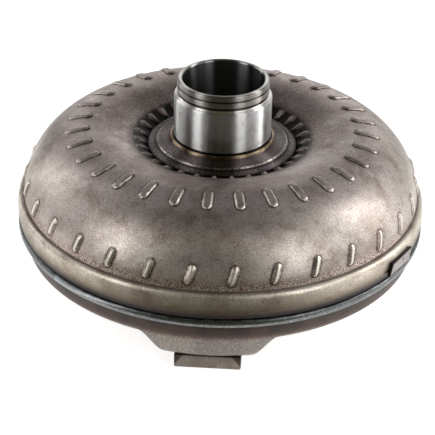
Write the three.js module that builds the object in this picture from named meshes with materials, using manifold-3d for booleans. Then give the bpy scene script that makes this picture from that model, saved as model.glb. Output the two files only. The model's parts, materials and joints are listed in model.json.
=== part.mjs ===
// An automotive torque converter with its pump hub up and its drive lugs down.
// Lengths are millimetres, angles are degrees, +Z is up the shaft axis, and the origin lies on
// that axis in the plane of the drive lug faces, which the converter stands on.
import * as THREE from 'three';
import { mergeVertices, toCreasedNormals } from 'three/addons/utils/BufferGeometryUtils.js';
import Module from 'manifold-3d';

const wasm = await Module();
wasm.setup();

// Fits that every piece shares
const seatGap = 0.3; // between two pieces that seat on each other
const runningGap = 0.4; // between two round pieces that turn on each other
const cutOverrun = 2; // how far a cutter runs past the faces it cuts
const mergeDistance = 0.001; // vertices closer than this are one vertex
const creaseAngle = 30; // faces that meet more sharply than this show an edge

// Facets round the axis
const rimFacets = 58;
const hubFacets = 30;
const discFacets = 24;
const coreFacets = 24;
const holeFacets = 12;

// Impeller shell: the pressed upper half of the torus
const skirtRadius = 127; // the widest turned surface, so a 254 mm converter
const shellWall = 3;
const shellBore = 42; // edge of the shell under the hub flange
const skirtStep = 4; // how far the skirt stands out of the torus's equator
const crownRadius = 80; // where the torus is highest
const crownHeight = 43; // from the equator up to the crown
const crownReach = skirtRadius - skirtStep - crownRadius; // from the crown out to the equator
const boreDrop = 15.4; // from the crown down to the bore's edge
const creaseRise = 1.2; // from the equator up to the crease above the skirt
const shoulderDrop = 1.1; // from the crease down to the skirt's full width
const skirtLength = 10.8; // the skirt's straight band
const skirtLipLength = 4.8; // the band that turns in towards the weld
const skirtLipTaper = 1.5;
const dimpleCount = 31; // one for each vane

const innerDimpleLength = 9.5;
const innerDimpleWidth = 4.4;
const middleDimpleLength = 15;
const outerDimpleLength = 12.4;
const outerDimpleWidth = 4.8;
const dimpleWidth = 5.6;
const dimpleHeight = 1.4;

// The three dimple rings: angle is the slope of the torus there, phase the first dimple's
// angle from -Y, and lean how far its upper end leans round
const innerDimple = { angle: 122.8, length: innerDimpleLength, width: innerDimpleWidth, phase: -2, lean: 0 };
const middleDimple = { angle: 77, length: middleDimpleLength, width: dimpleWidth, phase: -2, lean: 0 };
const outerDimple = { angle: 14.3, length: outerDimpleLength, width: outerDimpleWidth, phase: -5, lean: 17 };

// Impeller vanes and core ring
const vaneThickness = 1.2;
const vaneWallGap = 0.5; // vane edge to the faceted wall it is brazed to
const coreWall = 1.4;
const passageWidth = 12; // shell wall to core, from the crown to the equator
const coreReach = 14.5; // from the core's crown in to its inner edge
const coreRimDrop = 8.8; // from the core's crown down to its inner edge
const vaneInletRadius = 51;

// Pump hub, from its flange up to its end
const hubBore = 25;
const hubRadius = 30; // journal for the bush and oil seal
const hubLength = 53;
const hubPlugGap = 0.3;
const hubPlugDepth = 3.9; // how far the plug reaches below the shell's edge
const hubFlangeRadius = 46;
const hubFlangeEdge = 1.4; // thickness of the flange at its edge
const hubFlangeStepRadius = 40.2;
const hubFlangeStep = 0.7;
const hubFlangeRise = 2.6; // from the flange edge up to the foot of the fillet
const hubFilletRadius = 33.8;
const hubFilletRise = 1.2;
const hubRingRadius = 32; // ring left standing at the foot of the journal
const hubRingHeight = 1.5;
const hubRingRound = 0.5;
const hubUndercutRadius = 29.2;
const hubUndercutLength = 0.9;
const hubNeckChamfer = 0.9;
const hubJournalLength = 25.9;
const hubNeckRadius = 28.4;
const wideGrooveRadius = 26.9;
const wideGrooveLength = 1.1;
const ridgeRadius = 28.2;
const ridgeLength = 3.4;
const grooveFlank = 0.5;
const narrowGrooveRadius = 27;
const narrowGrooveLength = 0.8;
const collarRadius = 27.85;
const collarLength = 3.6;
const hubEndChamfer = 0.6;

// Front cover with three pressed pads
const coverWall = 4;
const coverSlopeInset = 4.7; // from the rim in to the top of the cone
const coverSlopeDrop = 2.4; // from the rim's foot down to the top of the cone
const coverRimFootDrop = 16.6; // from the weld's top to the foot of the rim
const coverRimRoundDrop = 8.8; // from the weld's top to where the rim starts to turn in
const coverRimInset = 1.9; // how far the rim's foot lies inside the rim
const coverSpigotLength = 8; // rim inside the skirt, above the weld
const padFloorWidth = 55;
const padShoulderWidth = 84;
const padFaceInset = 4.2; // how far the pad's face leans in, at its floor
const padFaceRound = 4;
const padCount = 3;
const padRowsToNext = 4; // columns from a pad's shoulder to half way to the next pad

// Drive lugs
const lugThickness = 9;
const lugWidth = 39.3;
const lugDepth = 29;
const lugSetback = 0.5; // its front face behind the edge of the pad's flat floor
const lugCornerRadius = 2;
const lugHoleRadius = 5; // for an M10 thread
const lugHoleInset = 14.5; // hole centre behind the lug's front face

// Equator weld and balance weight
const weldBulge = 0.5; // how far the bead stands out of the skirt
const weldHeight = 5.9;
const weldBulgeShare = 0.55; // how far up the bead it bulges most
const weightWidth = 24;
const weightHeight = 7.6;
const weightThickness = 2;
const weightAngle = 59.5;
const weightSlant = 3; // how far its top edge leans over along the skirt
const weightFootAboveSkirtEdge = 1.8;

// Crank pilot
const pilotRadius = 22;
const pilotProud = 5; // how far it stands out of the cover's floor
const pilotInside = 3;
const pilotWall = 5;
const pilotChamfer = 1.5;
const pilotRecessRadius = 6;
const pilotRecessDepth = 2;

// Thrust bearings: a bronze washer on the cover, and needle cages either side of the stator
const coverWasherThickness = 4.3;
const raceThickness = 1.5;
const cageThickness = 2.5;
const cageWeb = 1.3;
const cageNeedles = 9;
const bearingInset = 1; // its bore inside the one-way clutch's inner race
const bearingWidth = 9.5;
const coverWasherPlay = 3; // round the crank pilot
const coverWasherInset = 1; // its edge inside the turbine hub's barrel
const coverWasherWidth = 11;

// Turbine hub
const turbineHubLength = 29.5;
const turbineSplineRoot = 15;
const turbineSplineTip = 13.6;
const turbineSplineTeeth = 12;
const turbineWaistRadius = 27.5;
const turbineWaistFromTop = 8.5;
const turbineWaistFlank = 3;
const turbineFlangeRadius = 47;
const turbineFlangeThickness = 3.2;
const turbineFlangeFromTop = 3.2;
const turbineBarrelLength = 12.2;

// Turbine shell, vanes and core ring
const equatorGap = 2; // between the impeller's torus and the turbine's
const turbineClearance = 1.7; // turbine shell to the cover's rim
const turbineRimRise = 11.7; // from the lowest point of the torus up to its rim
const turbineWall = 1.6;
const turbineRimMargin = 1; // its flat rim beyond the hub's flange
const turbineRimBore = 40;
const turbineVaneCount = 23;
const turbineVaneTurn = 24; // how far a vane leans round from inlet to outlet
const turbineVaneGap = 0.9;
const vaneOutletInset = 1.8; // from the shell's flat rim out to the vanes
const turbineCoreShare = 0.545; // how deep the core lies in the shell
const turbineCoreRise = 6.1; // from the lowest point of the core up to its rim

// Stator wheel and its one-way clutch
const camHeight = 20;
const camReach = 14.2; // from the inner race out to the stator wheel
const statorWheelWall = 2;
const statorShroudWall = 1.4;
const statorShroudHeight = 18;
const bladeCount = 13;
const bladeLength = 21;
const bladeThickness = 3.4;
const bladeStagger = 4.5;
const bladeCamber = 3.6;
const sideplateThickness = 2.5;
const snapRingThickness = 1.5;
const snapRingWidth = 3;
const snapRingGapAngle = 24;
const innerRaceRadius = 27.5;
const raceWall = 6.9;
const raceSplineDepth = 1.6;
const raceSplineTeeth = 14;
const rollerRadius = 3.5;
const rollerCount = 8;
const rollerPlay = 0.15;
const wedgeRise = 0.8; // how much deeper a pocket is at its spring end
const pocketLead = 8; // from the roller back to the wedge end
const pocketTrail = 23; // from the roller on to the spring end
const springStart = 7.6;
const springEnd = 21.6;
const springFolds = 3;
const springStripWidth = 3.2; // over the folds
const springStrip = 0.9;
const springLength = 16.4;

// Lock-up piston and friction lining
const pistonTravel = 1.2;
const pistonReleaseGap = 1.3; // lining to cover when released
const liningThickness = 1.5;
const liningWidth = 18;
const liningSetback = 2; // from the piston's edge
const pistonWall = 3;
const pistonOuterBand = 15; // from its drive ring out to its edge
const pistonLipHeight = 9.5;
const pistonLipWall = 2.4;
const pistonHubWall = 3.2;
const pistonHubHeight = 7.6;
const pistonRingWall = 2.6;
const pistonRingPlay = 2.4; // round the damper plates
const pistonRingHeight = 10;
const driveTeeth = 6;
const driveToothWidth = 10;
const driveToothPlay = 0.5;

// Torsion damper
const damperTravel = 8; // either way
const damperSpringCount = 6;
const damperSpringReach = 25; // from the turbine hub's barrel out to the springs
const damperSpringRadius = 5.2;
const damperSpringLength = 25;
const damperPlateThickness = 2;
const damperPlateBand = 12; // plate inside and outside the spring circle
const damperHubPlateThickness = 3;
const damperHubPlateSetback = 3; // its edge inside the side plates' edge
const damperPlateGap = 0.8;
const damperWindowPlay = 0.4;
const damperRise = 11.4; // middle of the springs above the piston's lower face

// An arc through two points: how far they lie apart along its chord, and how far it rises
const sweepThrough = (reach, rise) => (reach ** 2 + rise ** 2) / (2 * rise);
const sweepRadius = sweepThrough(crownRadius - shellBore, boreDrop); // from the crown in to the hub

// Radii that follow each other outwards
const coverRimRadius = skirtRadius - shellWall - seatGap;
const coverSlopeRadius = coverRimRadius - coverSlopeInset;
const lugFrontRadius = coverRimRadius - padFaceInset - padFaceRound - lugSetback;
const camWallRadius = innerRaceRadius + camReach;
const raceSplineRoot = innerRaceRadius - raceWall;
const sideplateBore = innerRaceRadius + runningGap + seatGap;
const coreInnerRadius = crownRadius - coreReach;
const statorShroudRadius = coreInnerRadius - statorShroudWall - seatGap;
const turbineRimRadius = turbineFlangeRadius + turbineRimMargin;
const coverWasherBore = pilotRadius + coverWasherPlay;
const coverWasherRadius = coverWasherBore + coverWasherWidth;
const bearingInner = innerRaceRadius - bearingInset;
const bearingOuter = bearingInner + bearingWidth;
const raceBore = bearingInner - raceThickness;
const turbineBarrelRadius = coverWasherRadius + coverWasherInset; // carries the piston and the damper
const damperSpringCircle = turbineBarrelRadius + damperSpringReach;
const damperPlateBore = damperSpringCircle - damperPlateBand;
const damperPlateRadius = damperSpringCircle + damperPlateBand;
const damperHubPlateRadius = damperPlateRadius - damperHubPlateSetback;
const pistonRingRadius = damperPlateRadius + pistonRingPlay + pistonRingWall;
const pistonRadius = pistonRingRadius + pistonOuterBand;
const liningOuter = pistonRadius - liningSetback;
const liningInner = liningOuter - liningWidth;
const coverFloorRadius = pistonRadius;

// Heights up the axis, from the lug faces: each piece stands on the one below
const coverFloor = lugThickness + seatGap;
const coverInside = coverFloor + coverWall;
const coverWasherBase = coverInside + seatGap;
const turbineHubBase = coverWasherBase + coverWasherThickness + seatGap;
const turbineHubTop = turbineHubBase + turbineHubLength;
const statorCageBase = turbineHubTop + seatGap;
const lowerPlateBase = statorCageBase + cageThickness + seatGap;
const camBase = lowerPlateBase + sideplateThickness + seatGap;
const upperPlateBase = camBase + camHeight + seatGap;
const snapRingBase = upperPlateBase + sideplateThickness + seatGap;
const impellerCageBase = snapRingBase;
const impellerRaceBase = impellerCageBase + cageThickness + seatGap;
const hubUnderside = impellerRaceBase + raceThickness + seatGap;
const equatorHeight = hubUnderside + hubPlugDepth + boreDrop - crownHeight;
const creaseHeight = equatorHeight + creaseRise;
const shoulderHeight = creaseHeight - shoulderDrop;
const skirtFoot = shoulderHeight - skirtLength;
const skirtEdge = skirtFoot - skirtLipLength;
const weldTop = skirtEdge - seatGap;
const liningBase = coverInside + pistonReleaseGap;
const pistonBase = liningBase + liningThickness + seatGap;
const damperHeight = pistonBase + damperRise;

// Materials, as the pieces look
const finish = (name, color, roughness, metalness = 1) =>
  new THREE.MeshStandardMaterial({ name, color, roughness, metalness });
const shellSteel = finish('heat-tinted pressed steel', 0x8a837a, 0.45);
const coverSteel = finish('blue-grey pressed steel', 0x6f6c6a, 0.5);
const hubSteel = finish('ground steel', 0xc8c8ca, 0.18);
const weldSteel = finish('weld bead', 0x3f444a, 0.4);
const lugSteel = finish('dark bare steel', 0x5d5854, 0.55);
const vaneSteel = finish('stamped sheet steel', 0x9a9a98, 0.4);
const castAluminium = finish('cast aluminium', 0xb4b6b8, 0.5);
const hardSteel = finish('hardened steel', 0xb9babd, 0.25);
const springSteel = finish('oil-tempered spring steel', 0x4a4c55, 0.35);
const cageSteel = finish('pressed cage steel', 0xa8a59c, 0.4);
const frictionPaper = finish('friction lining', 0x4a3a2c, 0.95, 0);
const bearingBronze = finish('bearing bronze', 0x9a7b4a, 0.4);

const radians = THREE.MathUtils.degToRad;
const degrees = THREE.MathUtils.radToDeg;
const fullTurn = 360;

// A point at a radius, an angle from -Y towards +X, and a height
function polar(radius, angle, height = 0) {
  return new THREE.Vector3(radius * Math.sin(radians(angle)), -radius * Math.cos(radians(angle)), height);
}

// A closed three.js geometry as a solid that faces outwards
function solid(geometry) {
  const bare = geometry.clone();
  for (const name of Object.keys(bare.attributes)) {
    if (name !== 'position') bare.deleteAttribute(name);
  }
  const merged = mergeVertices(bare, mergeDistance);
  const places = merged.attributes.position.array;
  const corner = (index) => new THREE.Vector3().fromArray(places, index * 3);
  const triangles = [];
  let volume = 0;
  for (let start = 0; start < merged.index.count; start += 3) {
    const [a, b, c] = merged.index.array.slice(start, start + 3);
    if (a === b || b === c || c === a) continue;
    triangles.push([a, b, c]);
    volume += corner(a).dot(corner(b).cross(corner(c)));
  }
  const outward = volume < 0 ? triangles.map(([a, b, c]) => [a, c, b]) : triangles;
  return new wasm.Manifold(new wasm.Mesh({
    numProp: 3,
    vertProperties: new Float32Array(places),
    triVerts: new Uint32Array(outward.flat()),
  }));
}

// The solid's own triangles, back as a three.js geometry
function geometryOf(body) {
  const mesh = body.getMesh();
  const geometry = new THREE.BufferGeometry();
  geometry.setAttribute('position', new THREE.BufferAttribute(new Float32Array(mesh.vertProperties), 3));
  geometry.setIndex(new THREE.BufferAttribute(new Uint32Array(mesh.triVerts), 1));
  return toCreasedNormals(geometry, radians(creaseAngle));
}

// An outline of [radius, height] points turned round the axis
function turned(outline, facets) {
  const points = outline.map(([radius, height]) => new THREE.Vector2(radius, height));
  points.push(points[0].clone());
  return new THREE.LatheGeometry(points, facets).rotateX(Math.PI / 2);
}

// A turned outline whose radius and height change from column to column
function turnedByColumn(columns, outlineAt) {
  const rows = outlineAt(columns[0]).length + 1;
  const unit = Array.from({ length: rows }, (_, row) => new THREE.Vector2(1, row));
  const lathe = new THREE.LatheGeometry(unit, columns.length);
  const position = lathe.attributes.position;
  for (let vertex = 0; vertex < position.count; vertex += 1) {
    const angle = columns[Math.floor(vertex / rows) % columns.length];
    const [radius, height] = outlineAt(angle)[(vertex % rows) % (rows - 1)];
    const place = polar(radius, angle, height);
    position.setXYZ(vertex, place.x, place.y, place.z);
  }
  return lathe;
}

// A flat ring with a square section
function ring(inner, outer, height, facets) {
  return turned([[inner, 0], [outer, 0], [outer, height], [inner, height]], facets);
}

// A flat outline of Vector2 points, pushed up by a height
function plate(outline, height, holes = []) {
  const shape = new THREE.Shape(outline);
  shape.holes = holes.map((hole) => new THREE.Path(hole));
  return new THREE.ExtrudeGeometry(shape, { depth: height, bevelEnabled: false });
}

// Points on a circle, from one angle to another, with both ends unless it closes
function arcPoints(radius, from, to, steps) {
  const count = Math.abs(to - from) >= fullTurn ? steps : steps + 1;
  return Array.from({ length: count }, (_, step) => {
    const place = polar(radius, from + (to - from) * step / steps);
    return new THREE.Vector2(place.x, place.y);
  });
}

// A ring of spline teeth: flat tips and flat roots
function splineOutline(root, tip, teeth) {
  const pitch = fullTurn / teeth;
  const edgeShares = [[root, 0.02], [root, 0.46], [tip, 0.54], [tip, 0.94]];
  return Array.from({ length: teeth }, (_, tooth) => edgeShares.map(([radius, share]) => {
    const place = polar(radius, (tooth + share) * pitch);
    return new THREE.Vector2(place.x, place.y);
  })).flat();
}

// Points and the faces between them, as a three.js geometry
function skin(points, faces) {
  const geometry = new THREE.BufferGeometry().setFromPoints(points);
  geometry.setIndex(faces.flat());
  return geometry;
}

// A skin through sections that have the same number of points, closed at both ends
function lofted(sections) {
  const count = sections[0].length;
  const faces = [];
  for (let row = 0; row + 1 < sections.length; row += 1) {
    for (let side = 0; side < count; side += 1) {
      const [a, b] = [row * count + side, row * count + (side + 1) % count];
      faces.push([a, b, b + count], [a, b + count, a + count]);
    }
  }
  const last = (sections.length - 1) * count;
  for (let side = 1; side + 1 < count; side += 1) {
    faces.push([0, side + 1, side], [last, last + side, last + side + 1]);
  }
  return skin(sections.flat(), faces);
}

// A half torus: a quarter from the equator to the crown, and a sweep from there to the hub.
// Its angle is the slope of the outward normal: 0 at the equator, 90 on the crown.
function halfTorus({ equator, wide, deep, sweep, side }) {
  return {
    at: (angle, inset = 0) => (angle > 90 ? [
      crownRadius + (sweep - inset) * Math.cos(radians(angle)),
      equator + side * (deep - sweep + (sweep - inset) * Math.sin(radians(angle))),
    ] : [
      crownRadius + (wide - inset) * Math.cos(radians(angle)),
      equator + side * (deep - inset) * Math.sin(radians(angle)),
    ]),
    angleAt: (radius, inset = 0) => 90 + degrees(Math.asin((crownRadius - radius) / (sweep - inset))),
  };
}

const impellerTorus = halfTorus({
  equator: equatorHeight, wide: crownReach, deep: crownHeight, sweep: sweepRadius, side: 1,
});
const coreCrownReach = crownReach - shellWall - passageWidth;
const impellerCore = halfTorus({
  equator: equatorHeight, wide: coreCrownReach, deep: crownHeight - shellWall - passageWidth, side: 1,
  sweep: sweepThrough(coreReach, coreRimDrop),
});
const shellBoreAngle = impellerTorus.angleAt(shellBore);

// Stations along the flow passage, where wall, vane and core all have a point
const passageAngles = [0, 33, 66, 100];
const impellerAngles = [...passageAngles, impellerTorus.angleAt(vaneInletRadius, shellWall)];

// The two rows of a dimple ring at the shoulders of its dimples, from the hub's side outwards:
// beside the columns, such a row has the top of each dimple's shoulder
function dimpleRows({ angle, length, width, phase, lean }) {
  const arcRadius = angle > 90 ? sweepRadius : crownHeight;
  const run = (length - width) / 2;
  return [1, -1].map((end) => {
    const station = angle + degrees(end * run / arcRadius);
    const at = (rise) => {
      const [radius, level] = impellerTorus.at(station, -rise);
      return { radius, height: level, phase: phase + degrees(end * run * Math.tan(radians(lean)) / radius) };
    };
    const foot = at(0);
    return { ...foot, spread: degrees(width / foot.radius), top: at(dimpleHeight), endLength: width / 2 };
  });
}

// Impeller shell: a skin in rows round the axis, whose columns run down both sides of each
// vane's dimples. It starts at the hub, goes down the outside and comes back up the inside.
function impellerShell() {
  const pitch = fullTurn / dimpleCount;
  const even = ([radius, height], phase) => ({ radius, height, phase, spread: pitch / 2 });
  const between = (first, second, share) => even(
    impellerTorus.at(first.angle + (second.angle - first.angle) * share),
    first.phase + (second.phase - first.phase) * share,
  );
  const innerSkirt = skirtRadius - shellWall;
  const rows = [
    even(impellerTorus.at(shellBoreAngle), innerDimple.phase),
    ...dimpleRows(innerDimple),
    between(innerDimple, middleDimple, 0.5),
    ...dimpleRows(middleDimple),
    between(middleDimple, outerDimple, 0.37),
    between(middleDimple, outerDimple, 0.65),
    ...dimpleRows(outerDimple),
    ...[
      [crownRadius + crownReach, creaseHeight],
      [skirtRadius, shoulderHeight],
      [skirtRadius, skirtFoot],
      [skirtRadius - skirtLipTaper, skirtEdge],
      [innerSkirt, skirtEdge],
      [innerSkirt, shoulderHeight - shoulderDrop],
    ].map((place) => even(place, outerDimple.phase)),
    ...[...impellerAngles, shellBoreAngle].map((angle) =>
      even(impellerTorus.at(angle, shellWall), angle ? middleDimple.phase : outerDimple.phase)),
  ];

  const points = [];
  const keep = (point) => points.push(point) - 1;
  const ringOf = ({ radius, height, phase }, shift = 0) => Array.from({ length: dimpleCount }, (_, vane) =>
    keep(polar(radius, phase + shift + pitch * vane, height)));
  const grid = rows.map((row) => ({
    left: ringOf(row, -row.spread / 2),
    right: ringOf(row, row.spread / 2),
    top: row.top && ringOf(row.top),
    endLength: row.endLength,
  }));
  const middle = (row, vane) => points[row.left[vane]].clone().lerp(points[row.right[vane]], 0.5);
  const tipOf = (row, beyond, vane) => {
    const from = middle(row, vane);
    return keep(middle(beyond, vane).sub(from).setLength(row.endLength).add(from));
  };

  const faces = [];
  const quad = (a, b, c, d) => faces.push([a, b, c], [a, c, d]);
  const fan = (centre, loop) => loop.forEach((point, side) =>
    faces.push([centre, point, loop[(side + 1) % loop.length]]));
  grid.forEach((here, number) => {
    const there = grid[(number + 1) % grid.length];
    for (let vane = 0; vane < dimpleCount; vane += 1) {
      const next = (vane + 1) % dimpleCount;
      quad(here.right[vane], here.left[next], there.left[next], there.right[vane]);
      const [a, b, c, d] = [here.left[vane], here.right[vane], there.right[vane], there.left[vane]];
      if (here.top && there.top) {
        quad(a, here.top[vane], there.top[vane], d);
        quad(here.top[vane], b, c, there.top[vane]);
      } else if (there.top) {
        fan(tipOf(there, here, vane), [a, b, c, there.top[vane], d]);
      } else if (here.top) {
        fan(tipOf(here, there, vane), [a, here.top[vane], b, c, d]);
      } else {
        quad(a, b, c, d);
      }
    }
  });
  return solid(skin(points, faces));
}

// Vanes on their core ring. Each station of the passage has a point on the wall line and the
// outer and inner points of the core; the ring's columns lie at the sides of the vanes.
function vaneWheel(wallLine, coreLine, angles, count) {
  const points = [];
  const vanes = Array.from({ length: count }, (_, vane) => angles.map((angle, station) => {
    const around = fullTurn * vane / count + angle;
    const side = polar(vaneThickness / 2, around + 90);
    const at = ([radius, height]) => polar(radius, around, height);
    const wall = at(wallLine[station]);
    const core = at(coreLine[station].outer);
    const first = points.push(
      wall.clone().sub(side), wall.clone().add(side), core.clone().sub(side), core.clone().add(side),
      at(coreLine[station].inner),
    ) - 5;
    return { wallBack: first, wallFront: first + 1, back: first + 2, front: first + 3, inner: first + 4 };
  }));
  const faces = [];
  const face = (...loop) => {
    for (let side = 2; side < loop.length; side += 1) faces.push([loop[0], loop[side - 1], loop[side]]);
  };
  const last = angles.length - 1;
  vanes.forEach((vane, number) => {
    const beside = vanes[(number + 1) % count];
    for (let station = 0; station < last; station += 1) {
      const [here, there] = [vane[station], vane[station + 1]];
      const [besideHere, besideThere] = [beside[station], beside[station + 1]];
      face(here.wallBack, here.wallFront, there.wallFront, there.wallBack);
      face(here.wallFront, here.front, there.front, there.wallFront);
      face(here.front, besideHere.back, besideThere.back, there.front);
      face(here.back, here.wallBack, there.wallBack, there.back);
      face(here.inner, there.inner, besideThere.inner, besideHere.inner);
    }
    for (const station of [0, last]) {
      const [here, next] = [vane[station], beside[station]];
      const loops = [
        [here.wallBack, here.back, here.front, here.wallFront],
        [here.front, here.inner, next.inner, next.back],
        [here.back, here.inner, here.front],
      ];
      for (const loop of loops) face(...(station === last ? loop.toReversed() : loop));
    }
  });
  return solid(skin(points, faces));
}

// The core ring's outer and inner points along the passage
const coreLineOf = (torus, angles) => angles.map((angle) => ({
  outer: torus.at(angle), inner: torus.at(angle, coreWall),
}));

function impellerVanes() {
  const inset = shellWall + vaneWallGap;
  const wallLine = impellerAngles.map((angle) => impellerTorus.at(angle, inset));
  const coreLine = coreLineOf(impellerCore, [...passageAngles, impellerCore.angleAt(coreInnerRadius)]);
  const leanShares = [1, 0.6, 0.25, 0, 0];
  const lean = outerDimple.phase - middleDimple.phase;
  const angles = leanShares.map((share) => middleDimple.phase + lean * share);
  return vaneWheel(wallLine, coreLine, angles, dimpleCount);
}

// Pump hub: a turned sleeve, from the plug inside the shell up to the grooved end
function pumpHub() {
  const end = hubUnderside + hubLength;
  const flangeUnder = impellerTorus.at(impellerTorus.angleAt(hubFlangeRadius))[1] + seatGap;
  const plugRadius = shellBore - hubPlugGap;
  const edgeTop = flangeUnder + hubFlangeEdge;
  const stepTop = edgeTop + hubFlangeRise;
  const ringFoot = stepTop + hubFlangeStep + hubFilletRise;
  const ringTop = ringFoot + hubRingHeight;
  const journalFoot = ringTop + hubUndercutLength;
  const journalTop = journalFoot + hubJournalLength;
  const collarFoot = end - collarLength;
  const ridgeTop = collarFoot - narrowGrooveLength;
  const ridgeFoot = ridgeTop - ridgeLength;
  const wideTop = ridgeFoot - grooveFlank;
  return solid(turned([
    [hubBore, hubUnderside],
    [plugRadius, hubUnderside],
    [plugRadius, impellerTorus.at(shellBoreAngle)[1] + seatGap],
    [hubFlangeRadius, flangeUnder],
    [hubFlangeRadius, edgeTop],
    [hubFlangeStepRadius, stepTop - hubFlangeStep],
    [hubFlangeStepRadius, stepTop],
    [hubFilletRadius, stepTop + hubFlangeStep],
    [hubRingRadius, ringFoot],
    [hubRingRadius, ringTop - hubRingRound],
    [hubRingRadius - hubRingRound, ringTop],
    [hubUndercutRadius, ringTop],
    [hubUndercutRadius, journalFoot],
    [hubRadius, journalFoot],
    [hubRadius, journalTop],
    [hubNeckRadius, journalTop + hubNeckChamfer],
    [wideGrooveRadius, wideTop - wideGrooveLength],
    [wideGrooveRadius, wideTop],
    [ridgeRadius, ridgeFoot],
    [ridgeRadius, ridgeTop],
    [narrowGrooveRadius, ridgeTop],
    [narrowGrooveRadius, collarFoot],
    [collarRadius, collarFoot],
    [collarRadius, end - hubEndChamfer],
    [collarRadius - hubEndChamfer, end],
    [hubBore + hubEndChamfer, end],
    [hubBore, end - hubEndChamfer],
  ], hubFacets));
}

const padFloorAngle = degrees(Math.asin(padFloorWidth / 2 / coverRimRadius));
const padShoulderAngle = degrees(Math.asin(padShoulderWidth / 2 / coverRimRadius));

// How much of a pad there is at an angle: 1 on its floor, 0 beyond its shoulders
function padShareAt(angle) {
  const pitch = fullTurn / padCount;
  const away = Math.abs(((angle % pitch) + pitch * 1.5) % pitch - pitch / 2);
  const share = (padShoulderAngle - away) / (padShoulderAngle - padFloorAngle);
  return THREE.MathUtils.smoothstep(share, 0, 1);
}

// Front cover: a stepped pan whose cone is pushed out into three pads for the lugs
function frontCover() {
  const shoulderMiddle = (padFloorAngle + padShoulderAngle) / 2;
  const half = [0, padFloorAngle / 2, padFloorAngle, shoulderMiddle, padShoulderAngle];
  const rest = fullTurn / padCount / 2 - padShoulderAngle;
  for (let row = 1; row < padRowsToNext; row += 1) {
    half.push(padShoulderAngle + rest * row / padRowsToNext);
  }
  const sector = [...half.slice(1).toReversed().map((angle) => -angle), ...half, fullTurn / padCount / 2];
  const columns = Array.from({ length: padCount }, (_, pad) =>
    sector.map((angle) => angle + fullTurn * pad / padCount));
  const rimTop = weldTop + coverSpigotLength;
  const roundTop = weldTop - coverRimRoundDrop;
  const rimFoot = weldTop - coverRimFootDrop;
  const inside = coverRimRadius - coverWall;
  const bore = pilotRadius + seatGap;
  const slopeTop = rimFoot - coverSlopeDrop;
  const coneRadius = (coverFloorRadius + coverSlopeRadius) / 2;
  const coneHeight = (coverFloor + slopeTop) / 2;
  const padFoot = coverRimRadius - padFaceInset;
  const plain = [
    [bore, coverFloor], [coverFloorRadius, coverFloor], [coneRadius, coneHeight],
    [coverSlopeRadius, slopeTop], [coverRimRadius - coverRimInset, rimFoot],
    [coverRimRadius, roundTop], [coverRimRadius, rimTop],
    [inside, rimTop], [inside, roundTop + coverWall / 2],
    [coverSlopeRadius - coverWall / 2, slopeTop + coverWall],
    [coverFloorRadius - coverWall / 3, coverInside], [bore, coverInside],
  ];
  const pressed = [
    [bore, coverFloor], [coverFloorRadius, coverFloor], [padFoot - padFaceRound, coverFloor],
    [padFoot, coverFloor + padFaceRound],
    [(padFoot + coverRimRadius) / 2, (coverFloor + padFaceRound + roundTop) / 2],
    [coverRimRadius, roundTop], [coverRimRadius, rimTop],
    [inside, rimTop], [inside, roundTop + coverWall / 2],
    [padFoot - coverWall, coverInside + padFaceRound],
    [padFoot - padFaceRound - coverWall / 2, coverInside], [bore, coverInside],
  ];
  return solid(turnedByColumn(columns.flat(), (angle) => {
    const share = padShareAt(angle);
    return plain.map(([radius, height], row) => [
      radius + (pressed[row][0] - radius) * share,
      height + (pressed[row][1] - height) * share,
    ]);
  }));
}

// Drive lug: a block with rounded corners and a threaded hole, modelled round its hole
function driveLug() {
  const front = -lugHoleInset;
  const back = lugDepth - lugHoleInset;
  const outline = [];
  const cornerSteps = 3;
  const turn = 90;
  for (const [x, y, from] of [
    [lugWidth / 2 - lugCornerRadius, front + lugCornerRadius, 0],
    [lugWidth / 2 - lugCornerRadius, back - lugCornerRadius, turn],
    [lugCornerRadius - lugWidth / 2, back - lugCornerRadius, 2 * turn],
    [lugCornerRadius - lugWidth / 2, front + lugCornerRadius, 3 * turn],
  ]) {
    for (const point of arcPoints(lugCornerRadius, from, from + turn, cornerSteps)) {
      outline.push(point.add(new THREE.Vector2(x, y)));
    }
  }
  return solid(plate(outline, lugThickness, [arcPoints(lugHoleRadius, 0, fullTurn, holeFacets)]));
}

// Equator weld: a rounded bead below the skirt, round the cover's rim
function equatorWeld() {
  const inner = coverRimRadius + seatGap;
  const outer = skirtRadius + weldBulge;
  const foot = weldTop - weldHeight;
  const waist = (inner + outer) / 2;
  return solid(turned([
    [inner, foot], [waist, foot], [outer, foot + weldHeight * weldBulgeShare],
    [waist + weldBulge, weldTop], [inner, weldTop],
  ], rimFacets));
}

// Balance weight: a slanted strip of plate, curved to the skirt
function balanceWeight() {
  const inner = skirtRadius + seatGap;
  const outer = inner + weightThickness;
  const foot = skirtFoot - weightFootAboveSkirtEdge;
  const slant = degrees(weightSlant / skirtRadius);
  const span = degrees(weightWidth / skirtRadius);
  const sectionShares = [-0.5, -0.17, 0.17, 0.5];
  return solid(lofted(sectionShares.map((share) => {
    const around = weightAngle + span * share;
    return [
      polar(inner, around, foot), polar(outer, around, foot),
      polar(outer, around + slant, foot + weightHeight), polar(inner, around + slant, foot + weightHeight),
    ];
  })));
}

// Crank pilot: a blind plug in the middle of the cover
function crankPilot() {
  const face = coverFloor - pilotProud;
  const top = coverInside + pilotInside;
  return solid(turned([
    [0, face + pilotRecessDepth], [pilotRecessRadius, face + pilotRecessDepth], [pilotRecessRadius, face],
    [pilotRadius - pilotChamfer, face], [pilotRadius, face + pilotChamfer],
    [pilotRadius, top], [pilotRadius - pilotWall, top],
    [pilotRadius - pilotWall, coverFloor + pilotWall / 2], [0, coverFloor + pilotWall / 2],
  ], coreFacets));
}

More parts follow.
